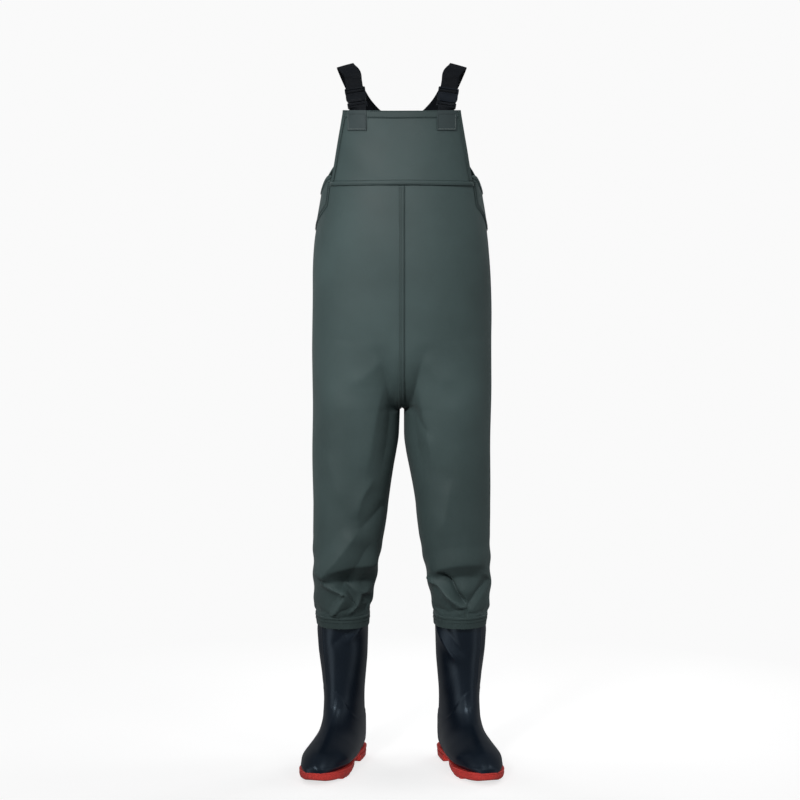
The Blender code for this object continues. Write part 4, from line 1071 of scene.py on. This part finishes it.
def prism(name, shape, low, high, matrix, bevel=0.0, segments=3):
    """A plastic plate: an outline of (across, up) points, extruded along a buckle's third axis."""
    shape = np.array(shape, float)
    count = len(shape)
    if np.sum(np.cross(shape, np.roll(shape, -1, axis=0))) < 0:
        shape = shape[::-1]
    points = np.concatenate([np.column_stack([shape, np.full(count, c)]) for c in (low, high)])
    faces = [tuple(range(count))[::-1], tuple(range(count, 2 * count))]
    faces += [(i, (i + 1) % count, count + (i + 1) % count, count + i) for i in range(count)]
    obj = mesh_object(name, in_buckle(matrix, points), faces, PLASTIC, sharp=True)
    if bevel:
        soften(obj, bevel, 30, segments)
    return obj


def cut(obj, blocks, matrix):
    """Takes blocks out of a piece of a buckle."""
    for half, (b0, b1), (c0, c1) in mm(blocks):
        tool = prism("cutter", ((-half, b0), (half, b0), (half, b1), (-half, b1)), c0, c1, matrix)
        hole = obj.modifiers.new("hole", "BOOLEAN")
        hole.operation = "DIFFERENCE"
        hole.object = tool
        hole.solver = "EXACT"
        bpy.context.view_layer.objects.active = obj
        bpy.ops.object.modifier_apply(modifier=hole.name)
        bpy.data.objects.remove(tool)


def rounded(corners, radius, steps=4):
    """A closed outline of millimetre corners, in metres, with its corners rounded."""
    corners = np.array(mm(tuple(corners)))
    result = []
    for k, corner in enumerate(corners):
        before, after = corners[k - 1] - corner, corners[(k + 1) % len(corners)] - corner
        r = min(radius, 0.45 * np.linalg.norm(before), 0.45 * np.linalg.norm(after))
        start, end = corner + unit(before) * r, corner + unit(after) * r
        for s in np.linspace(0, 1, steps + 1):
            result.append(start * (1 - s) ** 2 + corner * 2 * s * (1 - s) + end * s * s)
    return result


def make_buckle(label, side, matrix):
    """A side-release buckle: a slotted socket, a base with its tongue, and two catches."""
    corners = SOCKET_HALF + tuple((-a, b) for a, b in reversed(SOCKET_HALF))
    thick = mm(SOCKET_THICK)
    socket = prism(f"{label}_clip_socket", rounded(corners, 0.003), -thick, thick, matrix)
    cut(socket, SOCKET_CUTS, matrix)
    soften(socket, 0.0007, 35)
    attach(socket, f"{label}_clip", "buckle_plastic", f"{label}_buckle_socket")
    base = prism(f"{label}_clip_base", rounded(BASE, 0.0022), -0.003, 0.0034, matrix)
    cut(base, BASE_CUTS, matrix)
    soften(base, 0.0006, 35)
    attach(base, "torso", "buckle_plastic", f"{label}_buckle_base")
    tongue = prism(f"{label}_clip_tongue", rounded(TONGUE, 0.0014), -0.0018, 0.0018, matrix, 0.0008)
    attach(tongue, "torso", "buckle_plastic")
    for part, hand in (("outer", side), ("inner", -side)):
        shape = rounded(((hand * a, b) for a, b in PRONG), 0.0016, 3)
        prong = prism(f"{label}_{part}_catch", shape, -0.0023, 0.0023, matrix, 0.0005, 2)
        attach(prong, f"{label}_{part}_prong", "buckle_plastic", f"{label}_prong_{part}")


# ---- braces ----

PALE_STITCH = {"pitch": 0.0034, "length": 0.0027, "width": 0.0008}
TAB_HALF = 0.0195
LOOP_HALF = 0.017
STRAP_HALF = 0.018
STRAP_WALL = 0.0015
STRAP_CROSSING = 0.005
# Where a brace goes in its buckle, in millimetres up and out, and then over the shoulder: a place in
# millimetres, the way the strap faces, and how much of the crossing's lift the upper strap takes.
THREADED = ((13, -6), (30, -6), (32.8, -3), (33.5, 3.2), (35.2, 5.8), (37.4, 5.8), (39.1, 3.2), (39.8, -3),
            (42.5, -6), (50, -5.2), (64, -1), (78, 4))
SHOULDER = (
    ((114.5, -35, 1493.5), (0.22, -0.55, 1.0), 0), ((119.5, -2, 1498.5), (0.28, 0.05, 1.0), 0),
    ((116, 36, 1487), (0.25, 0.6, 0.9), 0), ((101, 75, 1453), (0.15, 1.0, 0.6), 0),
    ((78, 104, 1414), (0.05, 1.0, 0.35), 0.2), ((42, 123, 1378), (0.0, 1.0, 0.22), 0.8),
    ((0, 129, 1350), (0.0, 1.0, 0.14), 1), ((-34, 127.5, 1322), (0.0, 1.0, 0.14), 0.7),
    ((-63, 122.2, 1288), (-0.12, 1.0, 0.1), 0))


def make_tab(label, side, matrix):
    """The doubled fabric tab on the bib's corner, which loops over the buckle's bar, with pale stitching."""
    x = float(matrix.translation.x)
    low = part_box(f"{label}_strap_tab")[0].z
    a = np.linspace(-1, 1, 21)
    rows = [on_bib(x + a * TAB_HALF, z, 0.0034)[0] for z in np.linspace(low, BIB_TOP_Z - 0.0008, 24)]
    attach(sheet(f"{label}_bib_tab", rows, PATCH, wall=0.0013), "torso", "coated_fabric", f"{label}_strap_tab")
    loop = []
    for turn in np.radians(np.linspace(-18, 185, 16)):
        up, out = (signed_power(value, 0.6) for value in (np.sin(turn), np.cos(turn)))
        loop.append(in_buckle(matrix, [(s * LOOP_HALF, 0.0034 * up - 0.0008, 0.005 * out) for s in a]))
    first, edge, end = (bib_lifted(x + a * LOOP_HALF, BIB_TOP_Z + up, np.full(len(a), lift))[0]
                        for up, lift in ((-0.014, 0.0012), (-0.0004, 0.002), (-0.012, -0.0022)))
    front = [first, edge, (edge + loop[0]) / 2]
    back = [loop[-1] * (1 - s) + end * s for s in (0.35, 0.7, 1.0)]
    attach(sheet(f"{label}_tab_loop", front + loop + back, WEBBING, wall=0.0013), "torso", "webbing")
    stand = 0.0037
    xs = x + np.linspace(-1, 1, 30) * (TAB_HALF - 0.0024)
    zs = np.linspace(low + 0.0028, BIB_TOP_Z - 0.008, 30)
    outer, inner = (x + hand * (TAB_HALF - 0.0022) for hand in (side, -side))
    high = BIB_TOP_Z - 0.009
    pale = (bib_lifted(xs, low + 0.0026, bib_lift(xs / 0.13, low) + stand), on_bib(outer, zs, stand))
    dark = (on_bib(inner, zs, stand), bib_lifted(xs, high, bib_lift(xs / 0.121, high) + stand))
    for piece in (stitches(f"{label}_tab_pale_stitching", *zip(*pale), PALE_THREAD, **PALE_STITCH),
                  stitches(f"{label}_tab_stitching", *zip(*dark), THREAD)):
        attach(piece, "torso", "coated_fabric")


def make_strap(label, side, matrix):
    """A brace: threaded through the socket's two slots, over the shoulder and down to the back."""
    mirror = np.array([side, 1, 1])
    raised = STRAP_CROSSING if side > 0 else 0.0
    knots = [in_buckle(matrix, (0, *place)) * mirror for place in mm(THREADED)]
    facing = np.array(matrix)[:3, 2] * mirror
    outs = [facing] * len(knots) + [unit(np.array(out)) for _, out, _ in SHOULDER]
    knots += [np.array(mm(place)) + (0, over * raised, 0) for place, _, over in SHOULDER]
    path, out = np.split(spline(np.concatenate([knots, outs], axis=1), 420), 2, axis=1)
    tangent = unit(np.gradient(path, axis=0))
    # Across the buckle the strap turns over its bars without twisting.
    free = 6 + np.linalg.norm(path - knots[len(THREADED) - 4], axis=1).argmin()
    out[:free] = unit(np.cross(unit(np.cross(tangent[free], facing)), tangent[:free]))
    top = np.linalg.norm(path - mm(SHOULDER[1][0]), axis=1).argmin()
    front, back = (strip(f"{label}_brace_{name}", path[part], out[part], STRAP_HALF, WEBBING, side,
                         wall=STRAP_WALL, crown=0.0002, across=9)
                   for name, part in (("front", slice(0, top + 1)), ("back", slice(top, None))))
    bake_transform(front)
    attach(front, None, "webbing")
    attach(back, "torso", "webbing", f"{label}_shoulder_strap")
    across = unit(np.cross(tangent, out))
    sewn = slice(-44, -4)
    lines = [(path + across * STRAP_HALF * s + out * 0.0009)[sewn] for s in (-0.8, 0.8)]
    thread = stitches(f"{label}_brace_stitching", lines, [out[sewn]] * 2, THREAD, side, pitch=0.0034)
    attach(thread, "torso", "webbing")


def edge_stitches(name, grid, row, out, side, slot):
    """Pale stitches along the four edges of a patch, some rows in from each."""
    lines = [grid[row], grid[-1 - row], grid[:, row], grid[:, -1 - row]]
    outs = [np.tile(out, (len(line), 1)) for line in lines]
    lines = [line + (0, 0.0004, 0) for line in lines]
    attach(stitches(name, lines, outs, PALE_THREAD, side, **PALE_STITCH), "torso", slot)


def make_back_tab(label, side):
    """The fabric tab that holds the end of a brace against the back."""
    low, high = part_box(f"{label}_back_strap_tab")
    x0, x1 = sorted((low.x * side, high.x * side))
    xs, zs = np.meshgrid(np.linspace(x1, x0, 25), np.linspace(low.z, high.z, 21))
    over_strap = 0.0058 * np.exp(-(((xs - 0.063) * 0.8 + (zs - 1.288) * 0.6) / 0.02) ** 6)
    points = np.stack([xs, torso_depth(xs, zs, TORSO_BACK) + 0.0047 + over_strap, zs], axis=-1)
    tab = sheet(f"{label}_back_tab", points, PATCH, side, wall=0.0013)
    attach(tab, "torso", "coated_fabric", f"{label}_back_strap_tab")
    edge_stitches(f"{label}_back_tab_stitching", points, 2, (0, 1.0, 0), side, "coated_fabric")


def make_cross_patch():
    """The stitched diamond of webbing that holds the braces together where they cross."""
    low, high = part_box("strap_cross_patch")
    centre = np.array([0, (low.y + high.y) / 2 - AXIS_Y, (low.z + high.z) / 2])
    half = 0.0295
    a, b = (s[..., None] for s in np.meshgrid(*[np.linspace(-1, 1, 17)] * 2))
    up = unit(np.array([0, -0.14, 1.0]))
    grid = centre + (b - a) * half / 2 * (1, 0, 0) + up * (a + b) * half / 2
    grid += (0.0008 - 0.0012 * a * a * b * b) * (0, 1, 0)
    attach(sheet("brace_cross_patch", grid, WEBBING, wall=0.0016), "torso", "webbing", "strap_cross_patch")
    edge_stitches("brace_cross_stitching", grid, 1, (0, 1.0, 0.14), 1, "webbing")


# ---- the waders ----

grids = {}
for label, side in SIDES:
    grids[label] = make_body(label, side)
    make_side_patch(label, side, *grids[label][:2])
    make_cuff(label, side)
    make_boot(label, side)
    buckle = buckle_matrix(label, side)
    make_buckle(label, side, buckle)
    make_tab(label, side, buckle)
    make_strap(label, side, buckle)
    make_back_tab(label, side)
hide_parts("crotch_gusset")
make_seams(grids["left"][0])
make_bib()
make_back_band(grids)
make_cross_patch()


# ---- stage, lights and camera ----

PALE = 0.955
AMBIENT = 0.18
FLOOR_RADIUS = 9.0
CAMERA_LENS = 122.95
CAMERA_X, CAMERA_AWAY, CAMERA_Z, AIM_Z = -0.0037, 5.8, 1.4, 0.79


def link(data, place, aim):
    """Adds a light or the camera to the scene, turned to face a point."""
    obj = bpy.data.objects.new(data.name, data)
    obj.location = place
    obj.rotation_euler = (Vector(aim) - Vector(place)).to_track_quat("-Z", "Y").to_euler()
    bpy.context.scene.collection.objects.link(obj)
    return obj


def make_stage():
    """A pale floor that takes soft shadows near the boots and fades into the backdrop's tone away from them.

    Only the camera sees it so: to light it is dim, and mirrors see through it.
    """
    n = Nodes("studio_floor")
    space = n.coords()
    shade = n.spread(n.noise(space, 2.0, 2.0), 0.3, 0.7, 0.0, 1.0)
    n.finish(Base_Color=n.mix(shade, (0.44,) * 3, (0.46,) * 3), Roughness=0.9, Specular_IOR_Level=0.1,
             Emission_Color=(1, 1, 1, 1), Emission_Strength=0.68)
    far = n.add("ShaderNodeVectorMath", {0: space}, operation="LENGTH").outputs["Value"]
    pale = n.add("ShaderNodeEmission", {"Color": (1, 1, 1, 1), "Strength": PALE}).outputs[0]
    dim = n.add("ShaderNodeBsdfDiffuse", {"Color": (0.14, 0.14, 0.14, 1)}).outputs[0]
    through = n.add("ShaderNodeBsdfTransparent").outputs[0]
    ray = n.add("ShaderNodeLightPath").outputs

    def either(share, a, b):
        return n.add("ShaderNodeMixShader", {0: share, 1: a, 2: b}).outputs[0]

    near = either(n.spread(far, 0.55, 1.5, 0.0, 1.0), n.shader.outputs[0], pale)
    unseen = either(ray["Is Glossy Ray"], dim, through)
    n.fill(n.tree.nodes["Material Output"], {"Surface": either(ray["Is Camera Ray"], unseen, near)})
    around = np.linspace(0, 2 * np.pi, 97)[:-1]
    ring = np.stack([FLOOR_RADIUS * np.cos(around), FLOOR_RADIUS * np.sin(around) - AXIS_Y, 0 * around], axis=1)
    mesh_object("studio_floor", ring, [tuple(range(len(ring)))], n.material)


def make_world():
    """A dim surround that lights the object, behind a pale backdrop that only the camera sees."""
    world = bpy.data.worlds.new("studio")
    bpy.context.scene.world = world
    world.use_nodes = True
    tree = world.node_tree
    surround, backdrop = tree.nodes["Background"], tree.nodes.new("ShaderNodeBackground")
    for node, colour, strength in ((surround, (0.97, 0.98, 1.0, 1), AMBIENT), (backdrop, (1, 1, 1, 1), PALE)):
        node.inputs["Color"].default_value = colour
        node.inputs["Strength"].default_value = strength
    path, mixed = tree.nodes.new("ShaderNodeLightPath"), tree.nodes.new("ShaderNodeMixShader")
    for k, output in enumerate((path.outputs["Is Camera Ray"], surround.outputs[0], backdrop.outputs[0])):
        tree.links.new(output, mixed.inputs[k])
    tree.links.new(mixed.outputs[0], tree.nodes["World Output"].inputs["Surface"])


# Lights: place, aim, size (for a spot, its cone in degrees and its radius), power, whether gloss shows it.
LIGHTS = {
    "key": ((-1.15, -3.1, 2.6), (0, 0, 0.95), (26.5, 0.4), 486, True),
    "toes": ((-0.2, -1.7, 0.14), (0, -0.1, -0.12), (27, 0.2), 80, False),
    "fill": ((2.2, -2.6, 2.7), (0, 0, 1.2), (1.0, 1.2), 14, True),
    "left_strip": ((-2.3, -1.3, 0.1), (0, 0, 0.3), (1.6, 2.6), 9, True),
    "right_strip": ((2.4, -0.8, 0.1), (0, 0, 0.5), (0.8, 2.6), 3, True),
    "top": ((0.0, 0.6, 3.6), (0, 0, 0.6), (2.0, 1.6), 24, False),
    "side_left": ((-3.2, 0.7, 1.5), (0, 0, 0.8), (1.0, 2.0), 12, False),
    "side_right": ((3.2, 0.7, 1.5), (0, 0, 0.8), (1.0, 2.0), 16, False),
    "back_left": ((-2.0, 3.0, 2.4), (0, 0, 0.9), (1.4, 1.8), 26, False),
    "back_right": ((2.2, 2.8, 2.0), (0, 0, 0.9), (1.4, 1.8), 34, False)}
SPOTS = ("key", "toes")


def make_lights():
    """Adds the area lights and spots."""
    for name, (place, aim, size, power, mirrored) in LIGHTS.items():
        if name in SPOTS:
            data = bpy.data.lights.new(name, "SPOT")
            data.spot_size = math.radians(size[0])
            data.spot_blend = 1.0
            data.shadow_soft_size = size[1]
        else:
            data = bpy.data.lights.new(name, "AREA")
            data.shape = "RECTANGLE"
            data.size, data.size_y = size
        data.energy = power
        link(data, place, aim).visible_glossy = mirrored


def make_camera():
    """The photograph's viewpoint, a little above the chest and looking slightly down."""
    data = bpy.data.cameras.new("camera")
    data.lens = CAMERA_LENS
    data.sensor_width = 36
    place, aim = (CAMERA_X, AXIS_Y - CAMERA_AWAY, CAMERA_Z), (CAMERA_X, AXIS_Y, AIM_Z)
    bpy.context.scene.camera = link(data, place, aim)


make_stage()
make_world()
make_lights()
make_camera()
bpy.context.scene.view_settings.view_transform = "Standard"
